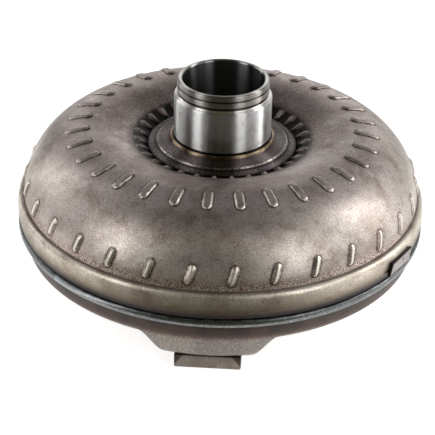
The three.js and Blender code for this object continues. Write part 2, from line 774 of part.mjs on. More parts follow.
// Needle cage: a washer that swells where each needle lies across it
function needleCage() {
  const columns = [];
  const webShares = [0, 0.28, 0.72]; // web between two needles, then both sides of a needle
  for (let needle = 0; needle < cageNeedles; needle += 1) {
    columns.push(...webShares.map((share) => (needle + share) * fullTurn / cageNeedles));
  }
  return solid(turnedByColumn(columns, (angle) => {
    const half = (columns.indexOf(angle) % webShares.length ? cageThickness : cageWeb) / 2;
    const middle = cageThickness / 2;
    return [
      [bearingInner, middle - half], [bearingOuter, middle - half],
      [bearingOuter, middle + half], [bearingInner, middle + half],
    ];
  }));
}

const thrustWasher = (bore, outer, thickness) => solid(ring(bore, outer, thickness, coreFacets));

// Turbine hub: splined bore, barrel for piston and damper, waist, and flange for the shell
function turbineHub() {
  const top = turbineHubLength;
  const flangeTop = top - turbineFlangeFromTop;
  const flangeFoot = flangeTop - turbineFlangeThickness;
  const waistTop = top - turbineWaistFromTop;
  const body = solid(turned([
    [turbineSplineTip, 0], [turbineBarrelRadius, 0],
    [turbineBarrelRadius, turbineBarrelLength],
    [turbineWaistRadius, turbineBarrelLength + turbineWaistFlank],
    [turbineWaistRadius, waistTop],
    [turbineWaistRadius + turbineWaistFlank, flangeFoot], [turbineFlangeRadius, flangeFoot],
    [turbineFlangeRadius, flangeTop], [turbineRimBore - seatGap, flangeTop],
    [bearingOuter, top], [turbineSplineTip, top],
  ], coreFacets));
  const teeth = splineOutline(turbineSplineRoot, turbineSplineTip - seatGap, turbineSplineTeeth);
  const spline = plate(teeth, top + 2 * cutOverrun);
  return body.subtract(solid(spline.translate(0, 0, -cutOverrun)));
}

const turbineRimHeight = turbineHubTop - turbineFlangeFromTop + seatGap;
const turbineRadius = coverRimRadius - coverWall - turbineClearance;
const turbineEquator = equatorHeight - equatorGap;
const turbineDepth = turbineEquator - turbineRimHeight + turbineRimRise;
const turbineTorus = halfTorus({
  equator: turbineEquator, wide: turbineRadius - crownRadius, deep: turbineDepth, side: -1,
  sweep: sweepThrough(crownRadius - turbineRimRadius, turbineRimRise),
});
const turbineCore = halfTorus({
  equator: turbineEquator, wide: coreCrownReach, side: -1,
  deep: (turbineDepth - turbineWall) * turbineCoreShare,
  sweep: sweepThrough(coreReach, turbineCoreRise),
});

// Turbine shell: a shallow half torus with a flat rim for its hub
function turbineShell() {
  const line = (inset) => passageAngles.map((angle) => turbineTorus.at(angle, inset));
  return solid(turned([
    [turbineRimBore, turbineRimHeight], [turbineRimRadius, turbineRimHeight],
    ...line(0).toReversed(),
    ...line(turbineWall),
    [turbineRimRadius + turbineWall / 2, turbineRimHeight + turbineWall],
    [turbineRimBore, turbineRimHeight + turbineWall],
  ], hubFacets));
}

function turbineVanes() {
  const inset = turbineWall + turbineVaneGap;
  const outletAngle = turbineTorus.angleAt(turbineRimRadius + vaneOutletInset, inset);
  const wallLine = [...passageAngles, outletAngle].map((angle) => turbineTorus.at(angle, inset));
  const coreLine = coreLineOf(turbineCore, [...passageAngles, turbineCore.angleAt(coreInnerRadius)]);
  const turnShares = [0.9, 1, 0.85, 0.5, 0];
  return vaneWheel(wallLine, coreLine, turnShares.map((share) => turbineVaneTurn * share), turbineVaneCount);
}

// Stator wheel: hub ring, cambered blades and shroud, cast in one
function statorWheel() {
  const wheelHeight = snapRingBase + snapRingThickness - lowerPlateBase;
  const wheelRadius = camWallRadius + seatGap;
  const hubOuter = wheelRadius + statorWheelWall;
  const bladeFoot = (wheelHeight - bladeLength) / 2;
  const shroudFoot = (wheelHeight - statorShroudHeight) / 2;
  const shroudOuter = statorShroudRadius + statorShroudWall;
  const hubPart = solid(ring(wheelRadius, hubOuter, wheelHeight, bladeCount * 2));
  const shroud = ring(statorShroudRadius, shroudOuter, statorShroudHeight, bladeCount * 2);
  let wheel = hubPart.add(solid(shroud.translate(0, 0, shroudFoot)));
  const section = (radius, around) => {
    const place = (shift, share) => polar(radius, around, bladeFoot + bladeLength * share)
      .addScaledVector(polar(1, around + 90), shift);
    return [
      place(-bladeStagger, 0), place(bladeCamber + bladeThickness / 2, 0.36), place(bladeStagger, 1),
      place(bladeCamber - bladeThickness / 2, 0.4),
    ];
  };
  for (let blade = 0; blade < bladeCount; blade += 1) {
    const around = fullTurn * blade / bladeCount;
    const root = wheelRadius + statorWheelWall / 2;
    const tip = statorShroudRadius + statorShroudWall / 2;
    wheel = wheel.add(solid(lofted([section(root, around), section(tip, around)])));
  }
  return wheel;
}

const rollerCircle = innerRaceRadius + rollerRadius + rollerPlay;
const landRadius = innerRaceRadius + seatGap * 2;

// One-way clutch cam: a ring whose pockets wedge each roller one way and free it the other
function statorCam() {
  const pitch = fullTurn / rollerCount;
  const bore = [];
  for (let roller = 0; roller < rollerCount; roller += 1) {
    const around = roller * pitch;
    const deep = rollerCircle + rollerRadius + rollerPlay;
    const stretch = [
      [landRadius, -pocketLead], [deep - wedgeRise / 2, -pocketLead], [deep + seatGap, 0],
      [deep + wedgeRise, pocketTrail / 2], [deep + wedgeRise, pocketTrail], [landRadius, pocketTrail],
      [landRadius, (pocketTrail + pitch - pocketLead) / 2],
    ];
    for (const [radius, angle] of stretch) {
      const place = polar(radius, around + angle);
      bore.push(new THREE.Vector2(place.x, place.y));
    }
  }
  return solid(plate(arcPoints(camWallRadius, 0, fullTurn, bladeCount * 2), camHeight, [bore]));
}

// Accordion spring: a folded strip that pushes a roller towards the wedge
function rollerSpring() {
  const low = rollerCircle - springStripWidth / 2;
  const side = (thickness) => Array.from({ length: springFolds + 1 }, (_, fold) => polar(
    low + (fold % 2) * (springStripWidth - springStrip) + thickness,
    springStart + (springEnd - springStart) * fold / springFolds,
  ));
  return [...side(0), ...side(springStrip).toReversed()].map(({ x, y }) => new THREE.Vector2(x, y));
}

const roller = () => new THREE.CylinderGeometry(rollerRadius, rollerRadius, camHeight - 2 * seatGap, 8)
  .rotateX(Math.PI / 2);

function innerRace() {
  const outer = arcPoints(innerRaceRadius, 0, fullTurn, coreFacets);
  const splines = splineOutline(raceSplineRoot, raceSplineRoot - raceSplineDepth, raceSplineTeeth);
  return solid(plate(outer, camHeight, [splines]));
}

const statorSideplate = () => solid(ring(sideplateBore, camWallRadius, sideplateThickness, coreFacets));

// Snap ring: an open ring that holds the clutch in the stator
function snapRing() {
  const outer = camWallRadius - seatGap;
  const from = snapRingGapAngle / 2;
  const to = fullTurn - from;
  return solid(plate([
    ...arcPoints(outer, from, to, coreFacets - 4),
    ...arcPoints(outer - snapRingWidth, to, from, coreFacets - 4),
  ], snapRingThickness));
}

// Lock-up piston: a flat plate with a hub, a rolled lip and a slotted drive ring
function lockupPiston() {
  const bore = turbineBarrelRadius + runningGap + seatGap;
  const body = solid(turned([
    [bore, 0], [pistonRadius, 0],
    [pistonRadius, pistonLipHeight], [pistonRadius - pistonLipWall, pistonLipHeight],
    [pistonRadius - pistonLipWall, pistonWall], [pistonRingRadius, pistonWall],
    [pistonRingRadius, pistonRingHeight],
    [pistonRingRadius - pistonRingWall, pistonRingHeight], [pistonRingRadius - pistonRingWall, pistonWall],
    [bore + pistonHubWall, pistonWall], [bore + pistonHubWall, pistonHubHeight], [bore, pistonHubHeight],
  ], discFacets));
  const slotWidth = driveToothWidth + 2 * driveToothPlay;
  const slotHeight = pistonRingHeight - pistonWall;
  let piston = body;
  for (let slot = 0; slot < driveTeeth; slot += 1) {
    const cutter = new THREE.BoxGeometry(slotWidth, pistonRingWall + 2 * cutOverrun, slotHeight + cutOverrun);
    const cutterHeight = pistonWall + seatGap + (slotHeight + cutOverrun) / 2;
    cutter.translate(0, pistonRingWall / 2 - pistonRingRadius, cutterHeight);
    piston = piston.subtract(solid(cutter.rotateZ(radians(fullTurn * slot / driveTeeth))));
  }
  return piston;
}

const frictionLining = () => solid(ring(liningInner, liningOuter, liningThickness, discFacets));

// Window that a damper spring lies in, as a four-cornered hole
function damperWindow(around, length, width) {
  const corners = [[-1, -1], [1, -1], [1, 1], [-1, 1]];
  const centre = polar(damperSpringCircle, around);
  const across = polar(1, around + 90);
  const outward = polar(1, around);
  return corners.map(([run, rise]) => {
    const place = centre.clone().addScaledVector(across, run * length / 2);
    place.addScaledVector(outward, rise * width / 2);
    return new THREE.Vector2(place.x, place.y);
  });
}

function damperWindows() {
  const length = damperSpringLength + 2 * damperWindowPlay;
  const width = 2 * (damperSpringRadius + damperWindowPlay);
  return Array.from({ length: damperSpringCount }, (_, spring) =>
    damperWindow(fullTurn * (spring + 0.5) / damperSpringCount, length, width));
}

const damperSideplate = () => solid(plate(
  arcPoints(damperPlateRadius, 0, fullTurn, discFacets), damperPlateThickness,
  [arcPoints(damperPlateBore, 0, fullTurn, coreFacets), ...damperWindows()],
));

// Damper drive plate: a side plate with teeth that slide in the piston's slots
function damperDriveplate() {
  const outline = [];
  const pitch = fullTurn / driveTeeth;
  const toothAngle = degrees(Math.asin(driveToothWidth / 2 / pistonRingRadius));
  const rimAngle = degrees(Math.asin(driveToothWidth / 2 / damperPlateRadius));
  for (let tooth = 0; tooth < driveTeeth; tooth += 1) {
    const around = pitch * tooth;
    outline.push(
      ...arcPoints(pistonRingRadius, around - toothAngle, around + toothAngle, 1),
      ...arcPoints(damperPlateRadius, around + rimAngle, around + pitch - rimAngle, 4),
    );
  }
  return solid(plate(outline, damperPlateThickness, [
    arcPoints(damperPlateBore, 0, fullTurn, coreFacets), ...damperWindows(),
  ]));
}

const damperHubplate = () => solid(plate(
  arcPoints(damperHubPlateRadius, 0, fullTurn, discFacets), damperHubPlateThickness,
  [arcPoints(turbineBarrelRadius + seatGap, 0, fullTurn, coreFacets), ...damperWindows()],
));

const damperSpring = () => {
  const coil = new THREE.CylinderGeometry(damperSpringRadius, damperSpringRadius, damperSpringLength, 8);
  return coil.rotateZ(Math.PI / 2);
};

// The assembly, grouped as it comes apart on a bench
const group = new THREE.Group();

function place(parent, name, shape, material, height = 0) {
  const geometry = shape.isBufferGeometry ? shape : geometryOf(shape);
  const mesh = new THREE.Mesh(geometry, material);
  mesh.name = name;
  mesh.position.z = height;
  parent.add(mesh);
  return mesh;
}

const casing = new THREE.Group();
place(casing, 'impeller_shell', impellerShell(), shellSteel);
place(casing, 'impeller_vanes', impellerVanes(), vaneSteel);
place(casing, 'pump_hub', pumpHub(), hubSteel);
place(casing, 'front_cover', frontCover(), coverSteel);
place(casing, 'equator_weld', equatorWeld(), weldSteel);
place(casing, 'balance_weight', balanceWeight(), coverSteel);
place(casing, 'crank_pilot', crankPilot(), lugSteel);
for (let lug = 0; lug < padCount; lug += 1) {
  const arm = new THREE.Group();
  arm.rotation.z = radians(fullTurn * lug / padCount);
  const mesh = place(arm, `drive_lug_${lug + 1}`, driveLug(), lugSteel);
  mesh.position.y = lugHoleInset - lugFrontRadius;
  casing.add(arm);
}
place(casing, 'cover_thrust_washer', thrustWasher(coverWasherBore, coverWasherRadius, coverWasherThickness),
  bearingBronze, coverWasherBase);
place(casing, 'impeller_thrust_race', thrustWasher(raceBore, bearingOuter, raceThickness), hardSteel,
  impellerRaceBase);
place(casing, 'stator_needle_cage', needleCage(), cageSteel, statorCageBase);
place(casing, 'impeller_needle_cage', needleCage(), cageSteel, impellerCageBase);

const turbine = new THREE.Group();
place(turbine, 'turbine_shell', turbineShell(), vaneSteel);
place(turbine, 'turbine_vanes', turbineVanes(), vaneSteel);
place(turbine, 'turbine_hub', turbineHub(), hardSteel, turbineHubBase);
place(turbine, 'damper_hub_plate', damperHubplate(), hardSteel, damperHeight - damperHubPlateThickness / 2);

const damper = new THREE.Group();
const plateOffset = damperHubPlateThickness / 2 + damperPlateGap;
place(damper, 'damper_drive_plate', damperDriveplate(), vaneSteel,
  damperHeight - plateOffset - damperPlateThickness);
place(damper, 'damper_side_plate', damperSideplate(), vaneSteel, damperHeight + plateOffset);
for (let spring = 0; spring < damperSpringCount; spring += 1) {
  const arm = new THREE.Group();
  arm.rotation.z = radians(fullTurn * (spring + 0.5) / damperSpringCount);
  const mesh = place(arm, `damper_spring_${spring + 1}`, damperSpring(), springSteel, damperHeight);
  mesh.position.y = -damperSpringCircle;
  damper.add(arm);
}

const piston = new THREE.Group();
place(piston, 'lockup_piston', lockupPiston(), hardSteel, pistonBase);
place(piston, 'friction_lining', frictionLining(), frictionPaper, liningBase);

const stator = new THREE.Group();
place(stator, 'stator_wheel', statorWheel(), castAluminium, lowerPlateBase);
place(stator, 'stator_cam', statorCam(), hardSteel, camBase);
place(stator, 'stator_lower_plate', statorSideplate(), vaneSteel, lowerPlateBase);
place(stator, 'stator_upper_plate', statorSideplate(), vaneSteel, upperPlateBase);
place(stator, 'stator_snap_ring', snapRing(), springSteel, snapRingBase);
for (let item = 0; item < rollerCount; item += 1) {
  const arm = new THREE.Group();
  arm.rotation.z = radians(fullTurn * item / rollerCount);
  const clutchRoller = place(arm, `clutch_roller_${item + 1}`, roller(), hardSteel, camBase + camHeight / 2);
  clutchRoller.position.y = -rollerCircle;
  place(arm, `clutch_spring_${item + 1}`, solid(plate(rollerSpring(), springLength)), springSteel,
    camBase + (camHeight - springLength) / 2);
  stator.add(arm);
}

const innerRaceGroup = new THREE.Group();
place(innerRaceGroup, 'stator_inner_race', innerRace(), hardSteel, camBase);

group.add(casing, turbine, damper, piston, stator, innerRaceGroup);

export default group;
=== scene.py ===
# %% [markdown]
# # A torque converter, dressed in Blender
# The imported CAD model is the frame: every body, joint and size comes from it. This script gives
# each surface that shows a finer mesh and its finish, lights it plainly, and looks at it from
# where the photographer stood.

# %% Load the frame
import json
import math
import bpy
import numpy as np
from mathutils import Matrix, Vector


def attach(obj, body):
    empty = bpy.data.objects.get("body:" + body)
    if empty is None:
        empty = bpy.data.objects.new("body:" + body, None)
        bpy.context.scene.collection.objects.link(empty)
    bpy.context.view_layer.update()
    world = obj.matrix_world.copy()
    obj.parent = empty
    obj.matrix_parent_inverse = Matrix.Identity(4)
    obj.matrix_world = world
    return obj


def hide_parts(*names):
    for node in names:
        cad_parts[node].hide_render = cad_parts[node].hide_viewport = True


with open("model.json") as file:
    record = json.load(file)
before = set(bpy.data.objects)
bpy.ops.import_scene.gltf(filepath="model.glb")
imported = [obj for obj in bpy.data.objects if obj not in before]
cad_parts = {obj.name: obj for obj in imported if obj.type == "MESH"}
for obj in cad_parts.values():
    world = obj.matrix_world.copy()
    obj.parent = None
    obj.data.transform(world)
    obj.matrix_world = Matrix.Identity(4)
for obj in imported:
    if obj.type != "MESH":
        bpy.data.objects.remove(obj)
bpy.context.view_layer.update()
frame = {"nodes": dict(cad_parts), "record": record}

# %% [markdown]
# Lengths are written in millimetres and angles in degrees, as on a drawing. Angles round the
# shaft start at the front, -Y, and grow towards +X.

# %% Units and small helpers
MM = 0.001
FULL_TURN = 2 * math.pi


def linear(code, alpha=1.0):
    """An sRGB hex colour as the linear colour that a node wants."""
    shares = [int(code[place:place + 2], 16) / 255 for place in (1, 3, 5)]
    return [s / 12.92 if s <= 0.04045 else ((s + 0.055) / 1.055) ** 2.4 for s in shares] + [alpha]


def add(tree, kind, settings=None, inputs=None):
    """Adds a node with its settings, and gives each named input a number, a colour or a link."""
    node = tree.nodes.new(kind)
    for name, value in (settings or {}).items():
        setattr(node, name, value)
    for name, value in (inputs or {}).items():
        if isinstance(value, bpy.types.NodeSocket):
            tree.links.new(value, node.inputs[name])
        else:
            node.inputs[name].default_value = value
    return node


def fresh_material(name):
    """An empty material, and its tree."""
    material = bpy.data.materials.new(name)
    material.use_nodes = True
    material.node_tree.nodes.clear()
    return material, material.node_tree


def deselect():
    """Leaves edit mode, if a piece is in it, and selects nothing."""
    if bpy.context.object and bpy.context.object.mode != "OBJECT":
        bpy.ops.object.mode_set(mode="OBJECT")
    bpy.ops.object.select_all(action="DESELECT")


def select_only(piece):
    """Makes one piece the selected and active one."""
    deselect()
    piece.select_set(True)
    bpy.context.view_layer.objects.active = piece


deselect()
print("ready in millimetres")

# %% [markdown]
# Most pieces here are turned or spun, so one helper serves them all. A plane is merged to one
# vertex, the vertex is extruded along the outline, the last one is joined to the first, and the
# spin operator sweeps the loop round the shaft. Each vertex then keeps the number of its outline
# point, which lets a later step press pads or dimples into the sweep.

# %% Turned pieces
MERGE = 0.005 * MM


def keep(piece, name, values):
    """Keeps one number for each vertex as an attribute."""
    layer = piece.data.attributes.new(name, "FLOAT", "POINT")
    layer.data.foreach_set("value", np.asarray(values, dtype=np.float32))


def outline_loop(name, outline):
    """A closed loop of edges through the outline's points, drawn by extrusion."""
    deselect()
    start = Vector((0, -outline[0][0] * MM, outline[0][1] * MM))
    bpy.ops.mesh.primitive_plane_add(size=MM, location=start)
    piece = bpy.context.object
    piece.name = piece.data.name = name
    bpy.ops.object.transform_apply(location=True, rotation=False, scale=False)
    bpy.ops.object.mode_set(mode="EDIT")
    bpy.ops.mesh.select_all(action="SELECT")
    bpy.ops.mesh.merge(type="CENTER")
    for before, after in zip(outline, outline[1:]):
        step = (0, (before[0] - after[0]) * MM, (after[1] - before[1]) * MM)
        bpy.ops.mesh.extrude_region_move(TRANSFORM_OT_translate={"value": step})
    bpy.ops.object.mode_set(mode="OBJECT")
    for vertex in piece.data.vertices:
        vertex.select = vertex.index in (0, len(outline) - 1)
    keep(piece, "row", np.arange(len(outline)))
    bpy.ops.object.mode_set(mode="EDIT")
    bpy.ops.mesh.edge_face_add()
    return piece


def turned(name, outline, steps):
    """Spins a closed outline of (radius, height) in mm round the shaft."""
    piece = outline_loop(name, outline)
    bpy.ops.mesh.select_all(action="SELECT")
    bpy.ops.mesh.spin(steps=steps, angle=FULL_TURN, center=(0, 0, 0), axis=(0, 0, 1))
    bpy.ops.mesh.select_all(action="SELECT")
    bpy.ops.mesh.remove_doubles(threshold=MERGE)
    bpy.ops.mesh.delete_loose(use_faces=False)
    bpy.ops.mesh.select_all(action="SELECT")
    bpy.ops.mesh.normals_make_consistent(inside=False)
    bpy.ops.object.mode_set(mode="OBJECT")
    return piece


print("turned pieces merge points closer than", MERGE, "m")

# %% [markdown]
# To press a form into a spun piece, its vertices are read into an array, moved by a formula and
# put back. A finished piece is shaded smooth except at its edges, and then it rides on a body.

# %% Reading, moving and finishing a piece
SMOOTH_ANGLE = 35


def vertices_of(piece):
    """The vertices in mm, one row each."""
    flat = np.empty(len(piece.data.vertices) * 3)
    piece.data.vertices.foreach_get("co", flat)
    return flat.reshape(-1, 3) / MM


def places(piece):
    """The vertices in mm, and the outline row of each."""
    rows = np.empty(len(piece.data.vertices))
    piece.data.attributes["row"].data.foreach_get("value", rows)
    return vertices_of(piece), rows


def angle_round(points):
    """Each point's angle round the shaft in degrees, from the front towards +X."""
    return np.degrees(np.arctan2(points[:, 0], -points[:, 1]))


def set_places(piece, points):
    """Writes the places of a piece's vertices, given in mm."""
    piece.data.vertices.foreach_set("co", (np.asarray(points) * MM).ravel())
    piece.data.update()


def finished(piece, smooth=SMOOTH_ANGLE):
    """Shades a piece smooth but for edges sharper than an angle."""
    select_only(piece)
    bpy.ops.object.shade_smooth_by_angle(angle=math.radians(smooth))
    if "row" in piece.data.attributes:
        piece.data.attributes.remove(piece.data.attributes["row"])
    print(piece.name, len(piece.data.polygons), "faces")
    return piece


def fit_on(piece, body, node, material):
    """The piece rides on a body, stands for its CAD node, and wears a material."""
    piece.data.materials.clear()
    piece.data.materials.append(material)
    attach(piece, body)
    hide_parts(node)
    return piece


def smoothstep(value):
    """0 below 0, 1 above 1 and a smooth rise between."""
    value = np.clip(value, 0, 1)
    return value * value * (3 - 2 * value)


print("edges sharper than", SMOOTH_ANGLE, "degrees stay sharp")

# %% [markdown]
# A drawing gives a corner and its fillet, so outlines are written in that way. Each fillet is
# drawn as a short curve that leaves both sides smoothly, with a few points.

# %% Rounded outlines
LONGEST_ROUND = 0.49


def rounded(corners, steps=3):
    """An outline whose corners, given as (radius, height, fillet), are rounded off."""
    points = []
    count = len(corners)
    for number, (radius, height, fillet) in enumerate(corners):
        here = Vector((radius, height))
        if not fillet:
            points.append(tuple(here))
            continue
        before = Vector(corners[number - 1][:2]) - here
        after = Vector(corners[(number + 1) % count][:2]) - here
        reach = min(fillet, before.length * LONGEST_ROUND, after.length * LONGEST_ROUND)
        start, end = here + before.normalized() * reach, here + after.normalized() * reach
        for step in range(steps + 1):
            share = step / steps
            bend = start * (1 - share) ** 2 + here * 2 * share * (1 - share) + end * share ** 2
            points.append(tuple(bend))
    return points


print("a round takes up to", LONGEST_ROUND, "of a side")

# %% [markdown]
# The impeller shell is a deep-drawn half torus: a quarter circle from the equator up to the
# crown, and a flatter sweep from there in to the hub. Its outline is two arcs, then the crease
# and the skirt. The arcs have a point every millimetre where the dimples are pressed and fewer
# elsewhere, so the mesh is fine only where it has to be.

# %% Shell: the outline
SKIRT_RADIUS = 127.0
SHELL_WALL = 3.0
SHELL_BORE = 42.0
CROWN_RADIUS = 80.0
CROWN_HEIGHT = 43.0
BORE_DROP = 15.4
BORE_HEIGHT = 85.2
EQUATOR_HEIGHT = BORE_HEIGHT + BORE_DROP - CROWN_HEIGHT
CREASE_HEIGHT = EQUATOR_HEIGHT + 1.2
SHOULDER_HEIGHT = CREASE_HEIGHT - 1.1
SKIRT_FOOT = SHOULDER_HEIGHT - 10.8
SKIRT_EDGE = SKIRT_FOOT - 4.8
SKIRT_LIP_TAPER = 1.1
# The shoulder's corners: how far inside the skirt, how far below the crease, and the fillet
SHOULDER = ((1.7, 0.5, 1.4), (0.4, 2.2, 1.6), (0.0, 5.5, 2.5))
SWEEP_REACH = CROWN_RADIUS - SHELL_BORE
SWEEP_RADIUS = (SWEEP_REACH ** 2 + BORE_DROP ** 2) / (2 * BORE_DROP)
SWEEP_CENTRE = (CROWN_RADIUS, EQUATOR_HEIGHT + CROWN_HEIGHT - SWEEP_RADIUS)
QUARTER_CENTRE = (CROWN_RADIUS, EQUATOR_HEIGHT)
BORE_ANGLE = 90 + math.degrees(math.asin(SWEEP_REACH / SWEEP_RADIUS))
CREASE_ANGLE = math.degrees(math.asin((CREASE_HEIGHT - EQUATOR_HEIGHT) / CROWN_HEIGHT))

RINGS = {
    "inner": dict(angle=123.8, length=8.6, width=3.2, height=1.4, phase=-2, lean=0, flank=0.9),
    "middle": dict(angle=77, length=15.4, width=5.6, height=1.15, phase=-2, lean=0, flank=0.36),
    "outer": dict(angle=14.3, length=12.6, width=4.8, height=1.4, phase=-5, lean=17, flank=0.9),
}
DIMPLE_COUNT = 31
FINE_STEP, COARSE_STEP, FINE_MARGIN = 1.0, 3.4, 2.0
STEPS_PER_DIMPLE = 26


def arc_radius(angle):
    """The radius of the sweep to the hollow, or that of the quarter circle."""
    return SWEEP_RADIUS if angle > 90 else CROWN_HEIGHT


def torus_point(angle, inset=0.0):
    """A point of the torus by the slope of its outward normal: 0 at the equator, 90 on the crown."""
    centre = SWEEP_CENTRE if angle > 90 else QUARTER_CENTRE
    reach = arc_radius(angle) - inset
    return (centre[0] + reach * math.cos(math.radians(angle)),
            centre[1] + reach * math.sin(math.radians(angle)))


def torus_angles():
    """Slopes from the bore out to the crease, close together across each ring of dimples."""
    angles = [BORE_ANGLE]
    while angles[-1] > CREASE_ANGLE:
        here = angles[-1]
        near = any(abs(here - ring["angle"]) * math.radians(arc_radius(here))
                   < ring["length"] / 2 + FINE_MARGIN for ring in RINGS.values())
        angles.append(here - math.degrees((FINE_STEP if near else COARSE_STEP) / arc_radius(here)))
    angles[-1] = CREASE_ANGLE
    return angles


outer_side = [torus_point(angle) for angle in torus_angles()][:-1]
skirt = rounded([
    (*torus_point(CREASE_ANGLE), 0.7),
    *((SKIRT_RADIUS - inside, CREASE_HEIGHT - down, fillet) for inside, down, fillet in SHOULDER),
    (SKIRT_RADIUS, SKIRT_FOOT, 2.5), (SKIRT_RADIUS - SKIRT_LIP_TAPER, SKIRT_EDGE, 0.4),
    (SKIRT_RADIUS - SHELL_WALL, SKIRT_EDGE, 0), (SKIRT_RADIUS - SHELL_WALL, SHOULDER_HEIGHT - 1.1, 0),
], steps=4)
inner_side = [torus_point(angle, SHELL_WALL) for angle in np.linspace(0, BORE_ANGLE, 14)]
shell_outline = outer_side + skirt + inner_side
print("shell outline has", len(shell_outline), "points")

# %% [markdown]
# Three rings of 31 dimples lock the vanes' tabs. A dimple is a round-ended bump, so one number
# describes it at every point: the distance to its outline, negative inside. The height of the
# bump follows from that distance, and the same distance is kept as an attribute, so the
# material can draw the burnished edge with its painted highlight, the painted shade and the rust
# beside it exactly along the outline.

# %% Shell: spin it and press the dimples
shell = turned("shell_pressing", shell_outline, DIMPLE_COUNT * STEPS_PER_DIMPLE)
FAR_AWAY = 20.0
FOOT_SPREAD = 0.35


def press_dimples(piece):
    """Raises the dimples along the torus's normal, and keeps where each point lies on them."""
    points, rows = places(piece)
    outside = rows < len(outer_side) - 0.5
    radius, around = np.hypot(points[:, 0], points[:, 1]), angle_round(points)
    inward = radius < CROWN_RADIUS
    centre_height = np.where(inward, SWEEP_CENTRE[1], QUARTER_CENTRE[1])
    slope = np.degrees(np.arctan2(points[:, 2] - centre_height, radius - CROWN_RADIUS))
    bend = np.where(inward, SWEEP_RADIUS, CROWN_HEIGHT)
    fields = {name: np.full(len(points), start) for name, start in
              (("edge", FAR_AWAY), ("across", 0.0), ("along", 0.0), ("ring", 0.0), ("raised", 0.0))}
    pitch = 360 / DIMPLE_COUNT
    for number, ring in enumerate(RINGS.values(), start=1):
        along = np.radians(slope - ring["angle"]) * bend
        turn = (around - ring["phase"] + pitch / 2) % pitch - pitch / 2
        sideways = np.radians(turn) * radius
        lean = math.radians(ring["lean"])
        length_way = along * math.cos(lean) + sideways * math.sin(lean)
        width_way = sideways * math.cos(lean) - along * math.sin(lean)
        run = (ring["length"] - ring["width"]) / 2
        edge = np.hypot(np.maximum(np.abs(length_way) - run, 0), width_way) - ring["width"] / 2
        edge = np.where(outside, edge, FAR_AWAY)
        rise = (FOOT_SPREAD - edge) / (ring["width"] / 2 * ring["flank"] + FOOT_SPREAD)
        closer = edge < fields["edge"]
        for name, values in (("edge", edge), ("across", width_way), ("along", length_way),
                             ("ring", float(number)), ("raised", ring["height"] * smoothstep(rise))):
            fields[name] = np.where(closer, values, fields[name])
    out = np.cos(np.radians(slope)) * fields["raised"] / radius
    points[:, 0] += points[:, 0] * out
    points[:, 1] += points[:, 1] * out
    points[:, 2] += np.sin(np.radians(slope)) * fields["raised"]
    set_places(piece, points)
    for name in ("edge", "across", "along", "ring"):
        keep(piece, "dimple_" + name, fields[name])


press_dimples(shell)
finished(shell, 40)

# %% [markdown]
# The front cover is the other pressing: a pan with a flat floor and a cone, pushed out into
# three pads that carry the drive lugs. It is spun plain, and each column is then moved towards
# the pad's outline by how far it lies inside a pad, so the sides of a pad run out smoothly.

# %% Cover: two outlines, plain and pressed
LAP_GAP = 0.3
COVER_RIM = SKIRT_RADIUS - SHELL_WALL - LAP_GAP
COVER_FLOOR = 9.3
COVER_WALL = 4.0
WELD_TOP = SKIRT_EDGE - LAP_GAP
RIM_LAP, ROUND_DROP, RIM_DROP = 8, 8.8, 16.6
RIM_TOP = WELD_TOP + RIM_LAP
ROUND_TOP = WELD_TOP - ROUND_DROP
RIM_FOOT = WELD_TOP - RIM_DROP
CONE_TOP = (COVER_RIM - 4.7, RIM_FOOT - 2.4)
FLOOR_EDGE = 94.0
PILOT_BORE = 22.3
PAD_FOOT = COVER_RIM - 4.2
PAD_ROUND = 4.0
PAD_FLOOR_HALF, PAD_SHOULDER_HALF = 27.5, 42
PAD_FLOOR_ANGLE = math.degrees(math.asin(PAD_FLOOR_HALF / COVER_RIM))
PAD_SHOULDER_ANGLE = math.degrees(math.asin(PAD_SHOULDER_HALF / COVER_RIM))
PAD_COUNT = 3
RIM_INSIDE = COVER_RIM - COVER_WALL

plain_outline = rounded([
    (PILOT_BORE, COVER_FLOOR, 0), (FLOOR_EDGE, COVER_FLOOR, 7), (CONE_TOP[0], CONE_TOP[1], 4),
    (COVER_RIM - 1.9, RIM_FOOT, 2), (COVER_RIM, ROUND_TOP, 5), (COVER_RIM, RIM_TOP, 0),
    (RIM_INSIDE, RIM_TOP, 0), (RIM_INSIDE, ROUND_TOP + 2, 5),
    (CONE_TOP[0] - 2, CONE_TOP[1] + COVER_WALL, 4), (FLOOR_EDGE - 1.3, COVER_FLOOR + COVER_WALL, 6),
    (PILOT_BORE, COVER_FLOOR + COVER_WALL, 0),
], steps=6)
pressed_outline = rounded([
    (PILOT_BORE, COVER_FLOOR, 0), (FLOOR_EDGE, COVER_FLOOR, 7), (PAD_FOOT - PAD_ROUND, COVER_FLOOR, 4),
    (PAD_FOOT, COVER_FLOOR + PAD_ROUND, 5), (COVER_RIM, ROUND_TOP, 7), (COVER_RIM, RIM_TOP, 0),
    (RIM_INSIDE, RIM_TOP, 0), (RIM_INSIDE, ROUND_TOP + 2, 5),
    (PAD_FOOT - COVER_WALL, COVER_FLOOR + COVER_WALL + PAD_ROUND, 4),
    (PAD_FOOT - PAD_ROUND - 2, COVER_FLOOR + COVER_WALL, 3), (PILOT_BORE, COVER_FLOOR + COVER_WALL, 0),
], steps=6)
print("both outlines have", len(plain_outline), "and", len(pressed_outline), "points")

# %% [markdown]
# Both outlines have the same number of points in the same order. A column of the spun cover can
# then move any part of the way from the plain outline to the pressed one.

# %% Cover: spin it and press the pads
STEPS_PER_PAD = 150
cover = turned("cover_pressing", plain_outline, PAD_COUNT * STEPS_PER_PAD)


